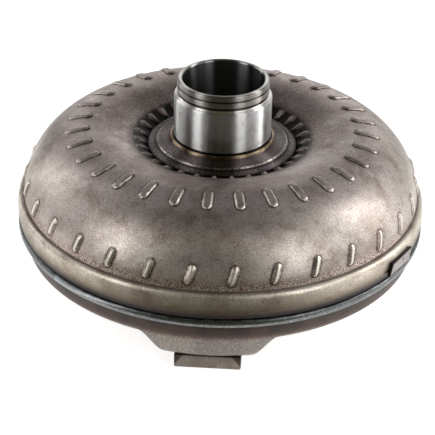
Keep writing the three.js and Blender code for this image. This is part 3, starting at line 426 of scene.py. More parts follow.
def press_pads(piece):
    """Moves each column of the spun cover to its share of the pressed outline."""
    points, rows = places(piece)
    around, pitch = angle_round(points), 360 / PAD_COUNT
    away = np.abs((around + pitch / 2) % pitch - pitch / 2)
    share = smoothstep((PAD_SHOULDER_ANGLE - away) / (PAD_SHOULDER_ANGLE - PAD_FLOOR_ANGLE))
    row = np.rint(rows).astype(int)
    start, end = np.array(plain_outline)[row], np.array(pressed_outline)[row]
    place = start + (end - start) * share[:, None]
    points[:, 0] = place[:, 0] * np.sin(np.radians(around))
    points[:, 1] = -place[:, 0] * np.cos(np.radians(around))
    points[:, 2] = place[:, 1]
    set_places(piece, points)


press_pads(cover)
finished(cover, 40)

# %% [markdown]
# The pump hub is turned from a forging and ground on its journal. Its outline has the small
# things that catch light on the real one: the fillet over the flange, the undercut at the foot
# of the journal, the two grooves with the ridge between them, and the broken edges.

# %% Pump hub
HUB_UNDERSIDE = 81.3
HUB_END = 134.3
HUB_BORE = 25.0
HUB_PLUG = SHELL_BORE - 0.3
JOURNAL = 30.0
FLANGE_RADIUS, STEP_RADIUS, FOOT_RING = 46.0, 40.0, 32.0
UNDERCUT, WIDE_GROOVE, NARROW_GROOVE = 29.2, 26.9, 27.0
NECK, RIDGE, COLLAR = 28.1, 28.2, 27.85
FLANGE_FILLET = 33.8
END_CHAMFER, BORE_CHAMFER = 0.65, 0.7
HUB_STEPS = 240
flange_angle = 90 + math.degrees(math.asin((CROWN_RADIUS - FLANGE_RADIUS) / SWEEP_RADIUS))
flange_under = torus_point(flange_angle)[1] + 0.3
edge_top = flange_under + 1.4
step_top = edge_top + 2.6
ring_foot = step_top + 1.9
ring_top = ring_foot + 1.5
journal_foot = ring_top + 0.9
journal_top = journal_foot + 25.9
collar_foot = HUB_END - 3.6
ridge_top = collar_foot - 0.8
ridge_foot = ridge_top - 3.4
groove_foot = journal_top + 1.7
hub_outline = rounded([
    (HUB_BORE, HUB_UNDERSIDE, 0.5), (HUB_PLUG, HUB_UNDERSIDE, 0.5), (HUB_PLUG, BORE_HEIGHT + 0.3, 0),
    (FLANGE_RADIUS, flange_under, 0), (FLANGE_RADIUS, edge_top, 0.9),
    (STEP_RADIUS + 0.2, step_top - 0.7, 0.4), (STEP_RADIUS, step_top, 0.5),
    (FLANGE_FILLET, step_top + 0.7, 1.4),
    (FOOT_RING, ring_foot, 0.9), (FOOT_RING, ring_top - 0.2, 0.7), (FOOT_RING - 0.8, ring_top, 0.4),
    (UNDERCUT, ring_top, 0.3), (UNDERCUT, journal_foot, 0.2),
    (JOURNAL, journal_foot + 0.3, 0.4), (JOURNAL, journal_top, 0.6),
    (JOURNAL - 0.9, journal_top + 0.9, 0.3), (NECK + 0.4, journal_top + 0.9, 0.3), (NECK, groove_foot, 0.5),
    (WIDE_GROOVE, groove_foot, 0.3), (WIDE_GROOVE, ridge_foot, 0.3), (RIDGE - 0.2, ridge_foot, 0.35),
    (RIDGE, ridge_foot + 0.5, 0.3), (RIDGE, ridge_top, 0.3), (NARROW_GROOVE, ridge_top, 0.25),
    (NARROW_GROOVE, collar_foot, 0.25), (COLLAR, collar_foot, 0.3),
    (COLLAR, HUB_END - 0.6, 0.5), (COLLAR - END_CHAMFER, HUB_END, 0.4),
    (HUB_BORE + BORE_CHAMFER, HUB_END, 0.4), (HUB_BORE, HUB_END - BORE_CHAMFER, 0.5),
], steps=4)
hub = finished(turned("hub_turning", hub_outline, HUB_STEPS), 30)

# %% [markdown]
# The equator weld is one bead laid while the converter turns, so it is a ring with fine
# ripples and one proud place where it started. The ring is spun, and its outer side is moved in
# and out by two waves along the seam, a fine one that slants and a slower one.

# %% Equator weld
WELD_FOOT = WELD_TOP - 5.9
# The bead's outer side: radius, height over its foot, and fillet
BEAD = ((COVER_RIM + 1.9, 0.0, 0.8), (126.6, 1.5, 1.2), (127.2, 3.2, 1.4), (127.0, 5.0, 0.8),
        (126.1, 5.9, 0.5))
weld_outline = rounded([
    (COVER_RIM + LAP_GAP, WELD_FOOT, 0), *((radius, WELD_FOOT + up, fillet) for radius, up, fillet in BEAD),
    (COVER_RIM + LAP_GAP, WELD_TOP, 0),
], steps=5)
WELD_STEPS = 900
RIPPLE_PITCH, RIPPLE_DEPTH, RIPPLE_SLANT = 2.6, 0.06, 0.35
SLOW_DEPTH, SLOW_PITCH = 0.6, 0.37
RIPPLE_FROM, RIPPLE_FULL = COVER_RIM + 1.5, COVER_RIM + 3.5
START_ANGLE, START_RISE, START_FADE = -47.5, 1.2, 30.0
START_PROUD, START_HALF, BELLY_HEIGHT = 0.9, 2.2, 3.6
weld = turned("weld_bead", weld_outline, WELD_STEPS)


def ripple(piece):
    """Ripples the bead, and raises its rounded start, which fades out along the seam."""
    points, rows = places(piece)
    radius = np.hypot(points[:, 0], points[:, 1])
    around = np.arctan2(points[:, 0], -points[:, 1])
    count = round(FULL_TURN * SKIRT_RADIUS / RIPPLE_PITCH)
    slower = math.floor(count * SLOW_PITCH)
    wave = np.sin(around * count + RIPPLE_SLANT * points[:, 2]) + SLOW_DEPTH * np.sin(around * slower + 1)
    past = (np.degrees(around) - START_ANGLE) % 360
    start = smoothstep(past / START_RISE) * smoothstep((START_FADE - past) / START_FADE)
    outward = np.clip((radius - RIPPLE_FROM) / (RIPPLE_FULL - RIPPLE_FROM), 0, 1)
    crown = np.clip(1 - np.abs(points[:, 2] - WELD_FOOT - BELLY_HEIGHT) / START_HALF, 0, 1)
    factor = 1 + (RIPPLE_DEPTH * wave + START_PROUD * start * crown) * outward / radius
    points[:, 0] *= factor
    points[:, 1] *= factor
    set_places(piece, points)
    keep(piece, "bead_start", start)


ripple(weld)
finished(weld, 50)

# %% [markdown]
# Small blocks start as a cube of their real size, and a modifier breaks their edges. A block is
# made in its own frame, with X along its width, Y from its front face back and Z up. Once its
# places are kept as attributes, it is carried to its angle by moving its vertices.

# %% Blocks: make one, and keep its own places
def block(name, width, depth, height):
    """A cube primitive of the given size in mm, its front face at Y = 0 and its foot at Z = 0."""
    deselect()
    bpy.ops.mesh.primitive_cube_add(size=1, location=(0, depth * MM / 2, height * MM / 2))
    piece = bpy.context.object
    piece.name = piece.data.name = name
    piece.scale = (width * MM, depth * MM, height * MM)
    bpy.ops.object.transform_apply(location=True, rotation=False, scale=True)
    return piece


def with_modifier(piece, kind, **settings):
    """Adds a modifier and applies it."""
    select_only(piece)
    modifier = piece.modifiers.new(kind.lower(), kind)
    for name, value in settings.items():
        setattr(modifier, name, value)
    bpy.ops.object.modifier_apply(modifier=modifier.name)


def own_places(piece):
    """The vertices in mm in the block's own frame, kept as attributes too."""
    points = vertices_of(piece)
    for column, name in enumerate(("across", "behind", "up")):
        keep(piece, "piece_" + name, points[:, column])
    return points


SHARP = math.radians(50)
print("edges sharper than", round(math.degrees(SHARP)), "degrees get a bevel")

# %% [markdown]
# A drive lug is a sheared block with a threaded hole, welded under its pad. The thread is cut by
# a stack of thin rings, because its turns look so from outside and a true helix shows no more.

# %% Drive lugs: the block and its threaded hole
LUG_WIDTH, LUG_DEPTH, LUG_THICKNESS = 39.3, 29.0, 9.0
LUG_FRONT = 115.0
LUG_EDGE = 0.8
LUG_HOLE, LUG_HOLE_INSET = 4.6, 14.5
THREAD_PITCH, THREAD_DEPTH, THREAD_STEPS = 1.5, 0.45, 36
NEAR_AXIS, OVERRUN = 0.02, 1.0


def threaded_cutter(length):
    """A cylinder whose wall swells and narrows once for each turn of the thread."""
    outline = [(NEAR_AXIS, -OVERRUN)]
    for turn in range(math.ceil(length / THREAD_PITCH) + 2):
        foot = -OVERRUN + turn * THREAD_PITCH
        outline += [(LUG_HOLE, foot), (LUG_HOLE + THREAD_DEPTH, foot + THREAD_PITCH / 2)]
    top = outline[-1][1] + THREAD_PITCH / 2
    cutter = turned("thread_cutter", [*outline, (LUG_HOLE, top), (NEAR_AXIS, top)], THREAD_STEPS)
    for vertex in cutter.data.vertices:
        vertex.co.y += LUG_HOLE_INSET * MM
    return cutter


def lug_block():
    """One lug behind the origin, with its edges broken and its hole threaded."""
    piece = block("lug_block", LUG_WIDTH, LUG_DEPTH, LUG_THICKNESS)
    with_modifier(piece, "BEVEL", width=LUG_EDGE * MM, segments=2, limit_method="ANGLE", angle_limit=SHARP)
    cutter = threaded_cutter(LUG_THICKNESS)
    with_modifier(piece, "BOOLEAN", object=cutter, operation="DIFFERENCE", solver="EXACT")
    bpy.data.objects.remove(cutter)
    return piece


print("lugs", LUG_WIDTH, "x", LUG_DEPTH, "x", LUG_THICKNESS, "mm")

# %% [markdown]
# The block is modelled once. Each lug is a copy with its own mesh, turned to its pad by moving
# its vertices, so that its object stays at the origin.

# %% Drive lugs: three copies, each carried to its place
def carried(piece, points, radius, angle):
    """Turns the block's own frame to an angle round the shaft, its front face at a radius."""
    turn = math.radians(angle)
    outward = radius - points[:, 1]
    moved = np.stack([outward * math.sin(turn) + points[:, 0] * math.cos(turn),
                      -outward * math.cos(turn) + points[:, 0] * math.sin(turn), points[:, 2]], axis=1)
    set_places(piece, moved)


lug_model = lug_block()
lug_points = own_places(lug_model)
lugs = []
for number in range(PAD_COUNT):
    lug = bpy.data.objects.new(f"lug_{number + 1}", lug_model.data.copy())
    bpy.context.scene.collection.objects.link(lug)
    carried(lug, lug_points, LUG_FRONT, number * 360 / PAD_COUNT)
    lugs.append(finished(lug, 30))
bpy.data.objects.remove(lug_model)

# %% [markdown]
# The balance weight is a slanted strip of plate, spot-welded on the skirt. It is so short that
# it is drawn straight between its two ends, half a millimetre flatter than the skirt.

# %% Balance weight
WEIGHT_ANGLE, WEIGHT_SPAN, WEIGHT_SLANT = 59.5, 10.83, 1.35
WEIGHT_INNER, WEIGHT_THICKNESS = 127.3, 2.0
WEIGHT_FOOT, WEIGHT_HEIGHT = 45.1, 7.6
WEIGHT_EDGE = 0.35
weight_width = math.radians(WEIGHT_SPAN) * SKIRT_RADIUS
weight = block("balance_strip", weight_width, WEIGHT_THICKNESS, WEIGHT_HEIGHT)
with_modifier(weight, "BEVEL", width=WEIGHT_EDGE * MM, segments=3, limit_method="ANGLE", angle_limit=SHARP)
weight_points = own_places(weight)
weight_turn = np.radians(WEIGHT_ANGLE + weight_points[:, 0] / weight_width * WEIGHT_SPAN
                         + weight_points[:, 2] / WEIGHT_HEIGHT * WEIGHT_SLANT)
weight_reach = WEIGHT_INNER + WEIGHT_THICKNESS - weight_points[:, 1]
set_places(weight, np.stack([weight_reach * np.sin(weight_turn), -weight_reach * np.cos(weight_turn),
                             weight_points[:, 2] + WEIGHT_FOOT], axis=1))
finished(weight, 30)

# %% [markdown]
# The crank pilot is a turned boss in the middle of the cover, with a centre recess.

# %% Crank pilot
PILOT_RADIUS, PILOT_FACE, PILOT_TOP = 22.0, 4.3, 16.3
PILOT_CHAMFER, PILOT_STEPS = 1.5, 120
PILOT_RECESS, PILOT_RECESS_TAPER, PILOT_RECESS_DEPTH = 6.0, 1.2, 2.0
recess_top = PILOT_FACE + PILOT_RECESS_DEPTH
pilot_outline = rounded([
    (0.0, recess_top, 0), (PILOT_RECESS - PILOT_RECESS_TAPER, recess_top, 0.4),
    (PILOT_RECESS, PILOT_FACE, 0.5), (PILOT_RADIUS - PILOT_CHAMFER, PILOT_FACE, 0.3),
    (PILOT_RADIUS, PILOT_FACE + PILOT_CHAMFER, 0.3), (PILOT_RADIUS, PILOT_TOP, 0.4), (0.0, PILOT_TOP, 0),
], steps=4)
pilot = finished(turned("pilot_boss", pilot_outline, PILOT_STEPS), 30)

# %% [markdown]
# The photographer's camera was found by fitting the rings and edges of the converter to their
# places in the picture: how high it looks down from, its turn, its distance and its small tilt.

# %% Camera
CAMERA_ELEVATION = 0.52735
CAMERA_TURN = math.radians(2.7)
CAMERA_TILT = 0.02523
CAMERA_DISTANCE = 1.0197
LOOK_LEFT = 1.565 * MM
LOOK_HEIGHT = 35.8 * MM
SENSOR_WIDTH, FOCAL_LENGTH = 36, 132.4

camera_data = bpy.data.cameras.new("camera")
camera_data.sensor_width = SENSOR_WIDTH
camera_data.lens = FOCAL_LENGTH
camera = bpy.data.objects.new("camera", camera_data)
bpy.context.scene.collection.objects.link(camera)
back = Vector((math.sin(CAMERA_TURN) * math.cos(CAMERA_ELEVATION),
               -math.cos(CAMERA_TURN) * math.cos(CAMERA_ELEVATION), math.sin(CAMERA_ELEVATION)))
target = Vector((-LOOK_LEFT * math.cos(CAMERA_TURN), -LOOK_LEFT * math.sin(CAMERA_TURN), LOOK_HEIGHT))
camera.matrix_world = (Matrix.Translation(target + back * CAMERA_DISTANCE)
                       @ back.to_track_quat("Z", "Y").to_matrix().to_4x4()
                       @ Matrix.Rotation(CAMERA_TILT, 4, "Z"))
bpy.context.scene.camera = camera
print("camera at", [round(value, 3) for value in camera.matrix_world.translation])

# %% [markdown]
# A bare metal finish is painted in layers. A share, from 0 to 1, says where a colour lies, and
# each layer covers what is under it. The shares come from where a point is on the piece, from
# noise of a real size, or from both. These small functions make shares and lay colours, and
# every finish below is built from them.

# %% Finish: shares that come from a place
def radius_and_height(tree, where):
    """The distance from the shaft and the height of a point, as sockets."""
    apart = add(tree, "ShaderNodeSeparateXYZ", None, {"Vector": where})
    flat = add(tree, "ShaderNodeCombineXYZ", None, {"X": apart.outputs["X"], "Y": apart.outputs["Y"]})
    radius = add(tree, "ShaderNodeVectorMath", {"operation": "LENGTH"}, {0: flat.outputs[0]})
    return radius.outputs["Value"], apart.outputs["Z"]


def fade(tree, value, start, full, low=0.0, high=1.0):
    """Goes from low to high as a value goes from start to full, and stays there beyond."""
    return add(tree, "ShaderNodeMapRange", None, {
        "Value": value, "From Min": start, "From Max": full, "To Min": low, "To Max": high,
    }).outputs["Result"]


def zone(tree, place, start, full, low=0.0, high=1.0):
    """A fade along a radius or a height, with start and full in mm."""
    return fade(tree, place, start * MM, full * MM, low, high)


def less(tree, first, second):
    """One value less another. 1 less a share is everything but that share."""
    return add(tree, "ShaderNodeMath", {"operation": "SUBTRACT"}, {0: first, 1: second}).outputs[0]


def line_at(tree, value, middle, full, gone):
    """1 where a value is within full of the middle, fading to 0 at gone."""
    off = add(tree, "ShaderNodeMath", {"operation": "ABSOLUTE"}, {0: less(tree, value, middle)}).outputs[0]
    return fade(tree, off, full, gone, 1.0, 0.0)


def stripe(tree, place, middle, full, gone):
    """A line round the piece at a radius or a height, in mm."""
    return line_at(tree, place, middle * MM, full * MM, gone * MM)


print("shares by place")

# %% [markdown]
# Noise is given by the real size of its blobs. Shares join by product, and a border that is
# pushed about by noise looks worn rather than drawn. Bumps lie one over another, coarse first.

# %% Finish: noise, and how shares and colours join
def blobs(tree, where, size, detail=3.0, rough=0.5):
    """Noise whose blobs are about as wide as a size in mm."""
    return add(tree, "ShaderNodeTexNoise", None, {
        "Vector": where, "Scale": 1 / (size * MM), "Detail": detail, "Roughness": rough}).outputs["Fac"]


def both(tree, *shares):
    """Where all of several shares are: their product."""
    product = shares[0]
    for share in shares[1:]:
        product = add(tree, "ShaderNodeMath", {"operation": "MULTIPLY"}, {0: product, 1: share}).outputs[0]
    return product


def either(tree, first, second):
    """Where the stronger of two shares is."""
    return add(tree, "ShaderNodeMath", {"operation": "MAXIMUM"}, {0: first, 1: second}).outputs[0]


def below(tree, value, level):
    """1 where a value is below a level and 0 elsewhere, with a hard border."""
    return add(tree, "ShaderNodeMath", {"operation": "LESS_THAN"}, {0: value, 1: level}).outputs[0]


def pushed(tree, value, noise, reach):
    """A value pushed up or down by a noise times a reach, which makes a border ragged."""
    return add(tree, "ShaderNodeMath", {"operation": "MULTIPLY_ADD"}, {
        0: noise, 1: reach, 2: value}).outputs[0]


def paint(tree, base, colour, *shares):
    """Lays a colour over a base where all the shares are. Each is a hex value or a socket."""
    under, over = (linear(one) if isinstance(one, str) else one for one in (base, colour))
    return add(tree, "ShaderNodeMix", {"data_type": "RGBA"}, {
        "Factor": both(tree, *shares), "A": under, "B": over}).outputs["Result"]


def metal(tree, sockets, *bumps):
    """The shader with its bumps, each (height, strength, depth in mm) over the one before."""
    normal = {}
    for height, strength, depth in bumps:
        bump = add(tree, "ShaderNodeBump", None, {
            "Height": height, "Strength": strength, "Distance": depth * MM, **normal})
        normal = {"Normal": bump.outputs["Normal"]}
    shader = add(tree, "ShaderNodeBsdfPrincipled", None, {**sockets, **normal})
    add(tree, "ShaderNodeOutputMaterial", None, {"Surface": shader.outputs["BSDF"]})


GRAIN_DEPTH = 0.12
print("layers ready, grain", GRAIN_DEPTH, "mm deep")

# %% [markdown]
# The shell is low-carbon steel as it left the press and the brazing furnace: bare and
# heat-tinted. It is cream-grey low down, pinkish taupe above, brown towards the hub and warm and
# pale on the skirt. Oil, air and heat made these colours, so they are broad with soft borders:
# 60 mm tints, 26 mm stains and 9 mm blotches. The hollow's wall is paler in front and darker
# behind: painted light and painted shade.

# %% Finish: heat tints, stains, and painted light and shade on the shell
TINT_SIZE, STAIN_SIZE, BLOTCH_SIZE, CLOUD_SIZE = 60, 26, 9, 7
TAUPE_FROM, TAUPE_FULL = 122, 96
BROWN_FROM, BROWN_FULL = 92, 56
TINT_WANDER = 0.35


def shell_tints(tree, where, radius, rise, hubward, cloud):
    """The shell's base colour. Rise is the height over the crease."""
    wander = fade(tree, blobs(tree, where, TINT_SIZE), 0.35, 0.65, -TINT_WANDER, TINT_WANDER)
    inward = add(tree, "ShaderNodeMath", {"operation": "ADD", "use_clamp": True}, {
        0: zone(tree, radius, TAUPE_FROM, TAUPE_FULL), 1: wander}).outputs[0]
    base = paint(tree, "#c4bcb1", "#c4b6b2", inward)
    base = paint(tree, base, "#e6dccb", zone(tree, rise, -0.4, -1.2))
    base = paint(tree, base, "#8a7a74", hubward, 0.7)

    # Dark and pale stains: the noise, where it starts and is full, the strength and the colour
    stain, blotch = blobs(tree, where, STAIN_SIZE, 4.0, 0.6), blobs(tree, where, BLOTCH_SIZE, 6.0, 0.65)
    for noise, start, full, strength, colour in (
            (stain, 0.5, 0.66, 0.5, "#7b6557"), (stain, 0.47, 0.36, 0.42, "#d9cdc9"),
            (blotch, 0.55, 0.64, 0.34, "#7a665b"), (blotch, 0.45, 0.37, 0.4, "#ded3d0")):
        base = paint(tree, base, colour, fade(tree, noise, start, full, 0.0, strength))

    # The wall of the hollow, from 54 to 76 mm out: stains made paler in front, which is painted light, and
    # painted shade behind
    hollow = both(tree, zone(tree, radius, 54, 60), zone(tree, radius, 76, 66))
    behind = add(tree, "ShaderNodeSeparateXYZ", None, {"Vector": where}).outputs["Y"]
    front_light = zone(tree, behind, 20, -20, -0.1, 0.6)
    base = paint(tree, base, "#d3c8c5", hollow, front_light, fade(tree, stain, 0.56, 0.44))
    base = paint(tree, base, "#5d4d47", hollow, zone(tree, behind, 10, 40), 0.4)
    return paint(tree, base, "#6c5f5a", fade(tree, cloud, 0.35, 0.65, 0.22, 0.0))


print("taupe from radius", TAUPE_FROM, "brown from radius", BROWN_FROM)

# %% [markdown]
# Close up the steel is grainy and has small pits. The real grain is a few tenths of a
# millimetre, too fine to show at this distance, so it is drawn 0.75 mm wide. In the crease water
# stood, and left rust and pale salt, drawn 0.6 mm wide for the same reason.

# %% Finish: grain, pits, rust, salt and the crease's painted lines on the shell
GRAIN_SIZE, GRIT_SIZE, PIT_SPACING = 0.75, 0.6, 9


def shell_specks(tree, base, where, hubward, cloud, grain):
    """Dark specks, thicker towards the hub, small pale ones, and a few black pits."""
    uneven = pushed(tree, grain, cloud, 0.25)
    over = less(tree, uneven, pushed(tree, 0.68, hubward, -0.04))
    base = paint(tree, base, "#4d423d", fade(tree, over, -0.08, 0.16, 0.0, 0.55))
    base = paint(tree, base, "#e9e2dc", fade(tree, grain, 0.44, 0.3, 0.0, 0.4))
    pits = add(tree, "ShaderNodeTexVoronoi", None, {"Vector": where, "Scale": 1 / (PIT_SPACING * MM)})
    return paint(tree, base, "#3a302c", fade(tree, pits.outputs["Distance"], 0.03, 0.08, 0.7, 0.0))


def crease_crust(tree, base, where, rise):
    """Rust and salt just above the crease, thinning out 8 mm up, a painted shade line in the crease and a
    faint painted highlight just below it.
    """
    grit = blobs(tree, where, GRIT_SIZE, 2.0)
    band = both(tree, zone(tree, rise, 0.2, 0.7), zone(tree, rise, 2.5, 8, 1.0, 0.0))
    level = fade(tree, band, 0.0, 1.0, 0.36, 0.5)
    base = paint(tree, base, "#8d6f60", band, 0.45)
    base = paint(tree, base, "#69493a", below(tree, less(tree, 1.0, grit), level), band, 0.75)
    base = paint(tree, base, "#efe3da", below(tree, grit, less(tree, level, 0.02)), band, 0.85)
    # A dark line in the crease: painted shade
    base = paint(tree, base, "#4a3a31", stripe(tree, rise, 0.0, 0.1, 0.4), 0.6)
    # A faint pale line on the shoulder just below the crease: a painted highlight
    return paint(tree, base, "#e4dccf", stripe(tree, rise, -0.9, 0.2, 0.8), 0.12)


print("grain", GRAIN_SIZE, "mm, pits about", PIT_SPACING, "mm apart")

# %% [markdown]
# A dimple rubs against whatever the converter stands beside, so its edge or crest is burnished,
# and its pale lines are painted highlights as well; the dark line in the corner round it is
# painted shade. The middle ring shines along its outline, the outer ring on its crest. By the
# flange the valleys are black, soot and painted shade together, and the inner ring's crests carry
# a painted highlight. The skirt's foot is brown, then blue-black: heat tint and painted shade.

# %% Finish: dimple wear, flange soot and weld burns, with painted light and shade
RING_MATCH = 0.4
DIRT_PUSH = -2.4


def dimple_places(tree):
    """Where a point lies on its nearest dimple, in mm, and one share for each ring."""
    place = {name: add(tree, "ShaderNodeAttribute", {"attribute_name": "dimple_" + name}).outputs["Fac"]
             for name in ("edge", "across", "along", "ring")}
    for number, name in enumerate(RINGS, start=1):
        place[name] = add(tree, "ShaderNodeMath", {"operation": "COMPARE"}, {
            0: place["ring"], 1: float(number), 2: RING_MATCH}).outputs[0]
    place["inside"] = fade(tree, place["edge"], 0.0, -0.4)
    return place


def dimple_wear_light_and_shade(tree, base, dimple, patchy, grain):
    """Rust round the outer ring, burnished lines that are also painted highlights, painted shade round the
    middle and outer dimples, and a darker patch past each middle dimple's hubward end.
    """
    edge, along, middle, outer = (dimple[name] for name in ("edge", "along", "middle", "outer"))
    halo = fade(tree, edge, 3.0, 0.4)
    base = paint(tree, base, "#6b4f40", halo, outer, fade(tree, grain, 0.45, 0.6), 0.5)
    # The middle ring's outline: burnish and a painted highlight, stronger towards its outer end
    outline, outward = line_at(tree, edge, -0.3, 0.04, 0.3), fade(tree, along, -4.0, 6.0, 0.85, 0.3)
    base = paint(tree, base, "#f3ecdf", outline, patchy, middle, outward)
    # The outer ring's crest: burnish and a painted highlight
    crest = line_at(tree, dimple["across"], 0.25, 0.45, 1.1)
    base = paint(tree, base, "#efe9dc", crest, outer, dimple["inside"])
    # A dark line just outside the middle and outer dimples: painted shade
    corner = line_at(tree, edge, 0.35, 0.3, 0.75)
    base = paint(tree, base, "#352a25", corner, less(tree, 1.0, dimple["inner"]), patchy, 0.8)
    # Darker just past the hubward end of each middle dimple
    pocket = both(tree, middle, fade(tree, along, 4.5, 7.5), line_at(tree, edge, 0.4, 0.6, 1.8))
    return paint(tree, base, "#2e2421", pocket, patchy, 0.7)


def flange_soot_and_shade(tree, base, dimple, patchy, radius, broken):
    """Black valleys by the flange, soot and painted shade, reaching further out between the dimples, and a
    painted highlight on the inner ring's crests.
    """
    near = add(tree, "ShaderNodeClamp", None, {"Value": dimple["edge"], "Min": -1.2, "Max": 2.2}).outputs[0]
    ragged = pushed(tree, pushed(tree, radius, near, DIRT_PUSH * MM), broken, 4.0 * MM)
    # The black by the flange, pushed outward between the dimples: soot and painted shade
    base = paint(tree, base, "#2c2421", zone(tree, ragged, 57, 51, 0.0, 0.6))
    base = paint(tree, base, "#0d0b0a", zone(tree, ragged, 53.2, 50.8, 0.0, 0.97))
    # A pale line on the inner ring's crests: a painted highlight
    crest = both(tree, line_at(tree, dimple["across"], 0.0, 0.2, 0.8), dimple["inner"], dimple["inside"])
    return paint(tree, base, "#c4bbb2", crest, zone(tree, radius, 47.5, 50.5), patchy, 0.7)


def weld_burn_and_shade(tree, base, height, broken):
    """Brown towards the skirt's foot and a ragged blue-black band at it: heat tint with painted shade where
    the skirt turns under.
    """
    base = paint(tree, base, "#7a6b55", zone(tree, height, 55, 48, 0.0, 0.75))
    return paint(tree, base, "#413a3a", zone(tree, pushed(tree, height, broken, 2.0 * MM), 50.0, 45.6))


print("wear on", len(RINGS), "rings")

# %% [markdown]
# The layers go on in the order in which they came to the real steel: furnace colours, grain,
# rust, the weld's burn, and last the wear and the dirt.

# %% Finish: pressed shell steel
BREAK_SIZE = 1.7


def shell_steel():
    """The shell's finish, from its broad tints to the soot by the flange."""
    material, tree = fresh_material("pressed_steel_heat_tinted")
    where = add(tree, "ShaderNodeTexCoord").outputs["Object"]
    radius, height = radius_and_height(tree, where)
    rise = less(tree, height, CREASE_HEIGHT * MM)
    hubward = zone(tree, radius, BROWN_FROM, BROWN_FULL)
    cloud, grain = blobs(tree, where, CLOUD_SIZE, 5.0, 0.6), blobs(tree, where, GRAIN_SIZE, 2.0, 0.6)
    broken, dimple = blobs(tree, where, BREAK_SIZE), dimple_places(tree)
    patchy = fade(tree, broken, 0.4, 0.55, 0.45, 1.0)
    base = shell_tints(tree, where, radius, rise, hubward, cloud)
    base = shell_specks(tree, base, where, hubward, cloud, grain)
    base = crease_crust(tree, base, where, rise)
    base = weld_burn_and_shade(tree, base, height, broken)
    base = dimple_wear_light_and_shade(tree, base, dimple, patchy, grain)
    base = flange_soot_and_shade(tree, base, dimple, patchy, radius, broken)

    # The shoulder of a dimple is crisper than its mesh, so the last of its rise is bump
    shoulder = fade(tree, dimple["edge"], -0.7, 0.1, 1.0, 0.0)
    metal(tree, {
        "Base Color": base, "Metallic": 0.88, "Roughness": fade(tree, cloud, 0.3, 0.7, 0.47, 0.37),
    }, (shoulder, 0.28, 0.3), (grain, 0.35, GRAIN_DEPTH))
    return material


finishes = {"shell_steel": shell_steel()}
print("shell finish has", len(finishes["shell_steel"].node_tree.nodes), "nodes")

# %% [markdown]
# The hub's journal is ground: grooves finer than a hair run round it, so a lamp smears into an
# upright band. Anisotropy does that. Its tangent runs round the shaft, and the quarter turn
# lays the smear across the grooves. The grooves that show as lines are drawn 0.35 mm apart,
# coarser than the real ones. The flange keeps its dark forging skin, the fillet at its foot has
# run straw-yellow from heat, and the bore is polished and dark.

# %% Finish: ground and turned hub steel
QUARTER_TURN = 0.25
LINE_SIZE, SPECK_SIZE = 0.35, 0.9
WORN_LINE, DARK_LINE = 40.1, 41.3
STRAW_EDGE = 32.3


def turned_neck(tree, radius, height, lines, speck):
    """Above the journal: turned steel, with painted shade in the grooves, painted light on the end and a
    painted highlight on one ledge.
    """
    neck = paint(tree, "#5f5b58", "#c9c4be", pushed(tree, both(tree, speck, 0.35), lines, 0.7))
    # Black inside 27.45 mm, in the grooves: painted shade
    neck = paint(tree, neck, "#211d1b", zone(tree, radius, 27.75, 27.45), 0.85)
    # The pale end face: painted light
    neck = paint(tree, neck, "#d9d5d0", zone(tree, height, HUB_END - 0.35, HUB_END - 0.1))
    # A pale band on the ledge over the wide groove: a painted highlight
    ledge_foot = zone(tree, height, journal_top + 0.35, journal_top + 0.6)
    ledge_top = zone(tree, height, groove_foot + 0.3, groove_foot + 0.1)
    return paint(tree, neck, "#f0ece6", zone(tree, radius, 27.6, 27.9), ledge_foot, ledge_top)


def flange_skin(tree, radius, stain, speck, worn_step_sheen, straw):
    """Dark skin with specks and glints, the step's pale line of wear and painted highlight, painted shade on
    the rim, at the step and by the journal, and the straw-yellow ring.
    """
    skin = paint(tree, "#87807d", "#453f3e", fade(tree, speck, 0.38, 0.62))
    skin = paint(tree, skin, "#75666a", fade(tree, stain, 0.35, 0.65, 0.0, 0.5))
    # The step's pale line: polish from wear and a painted highlight
    skin = paint(tree, skin, "#cfc7bd", worn_step_sheen, 0.85)
    # The flange's outer rim darkened: painted shade
    rim = zone(tree, radius, FLANGE_RADIUS - 1.2, FLANGE_RADIUS - 0.4, 0.0, 0.85)
    skin = paint(tree, skin, "#1b1918", rim)
    # A dark line at the step: painted shade
    skin = paint(tree, skin, "#1b1918", stripe(tree, radius, DARK_LINE, 0.3, 1.2), 0.75)
    skin = paint(tree, skin, "#b5aca4", fade(tree, speck, 0.34, 0.3), 0.7)
    skin = paint(tree, skin, "#5a4a42", zone(tree, radius, 34.5, 32.8, 0.0, 0.6))
    oxide = paint(tree, "#c7b395", "#8d745e", fade(tree, stain, 0.4, 0.6))
    skin = paint(tree, skin, oxide, straw)
    # Dark inside 30.8 mm, by the journal's foot and its undercut: painted shade
    return paint(tree, skin, "#2b2320", zone(tree, radius, 31.3, 30.8))


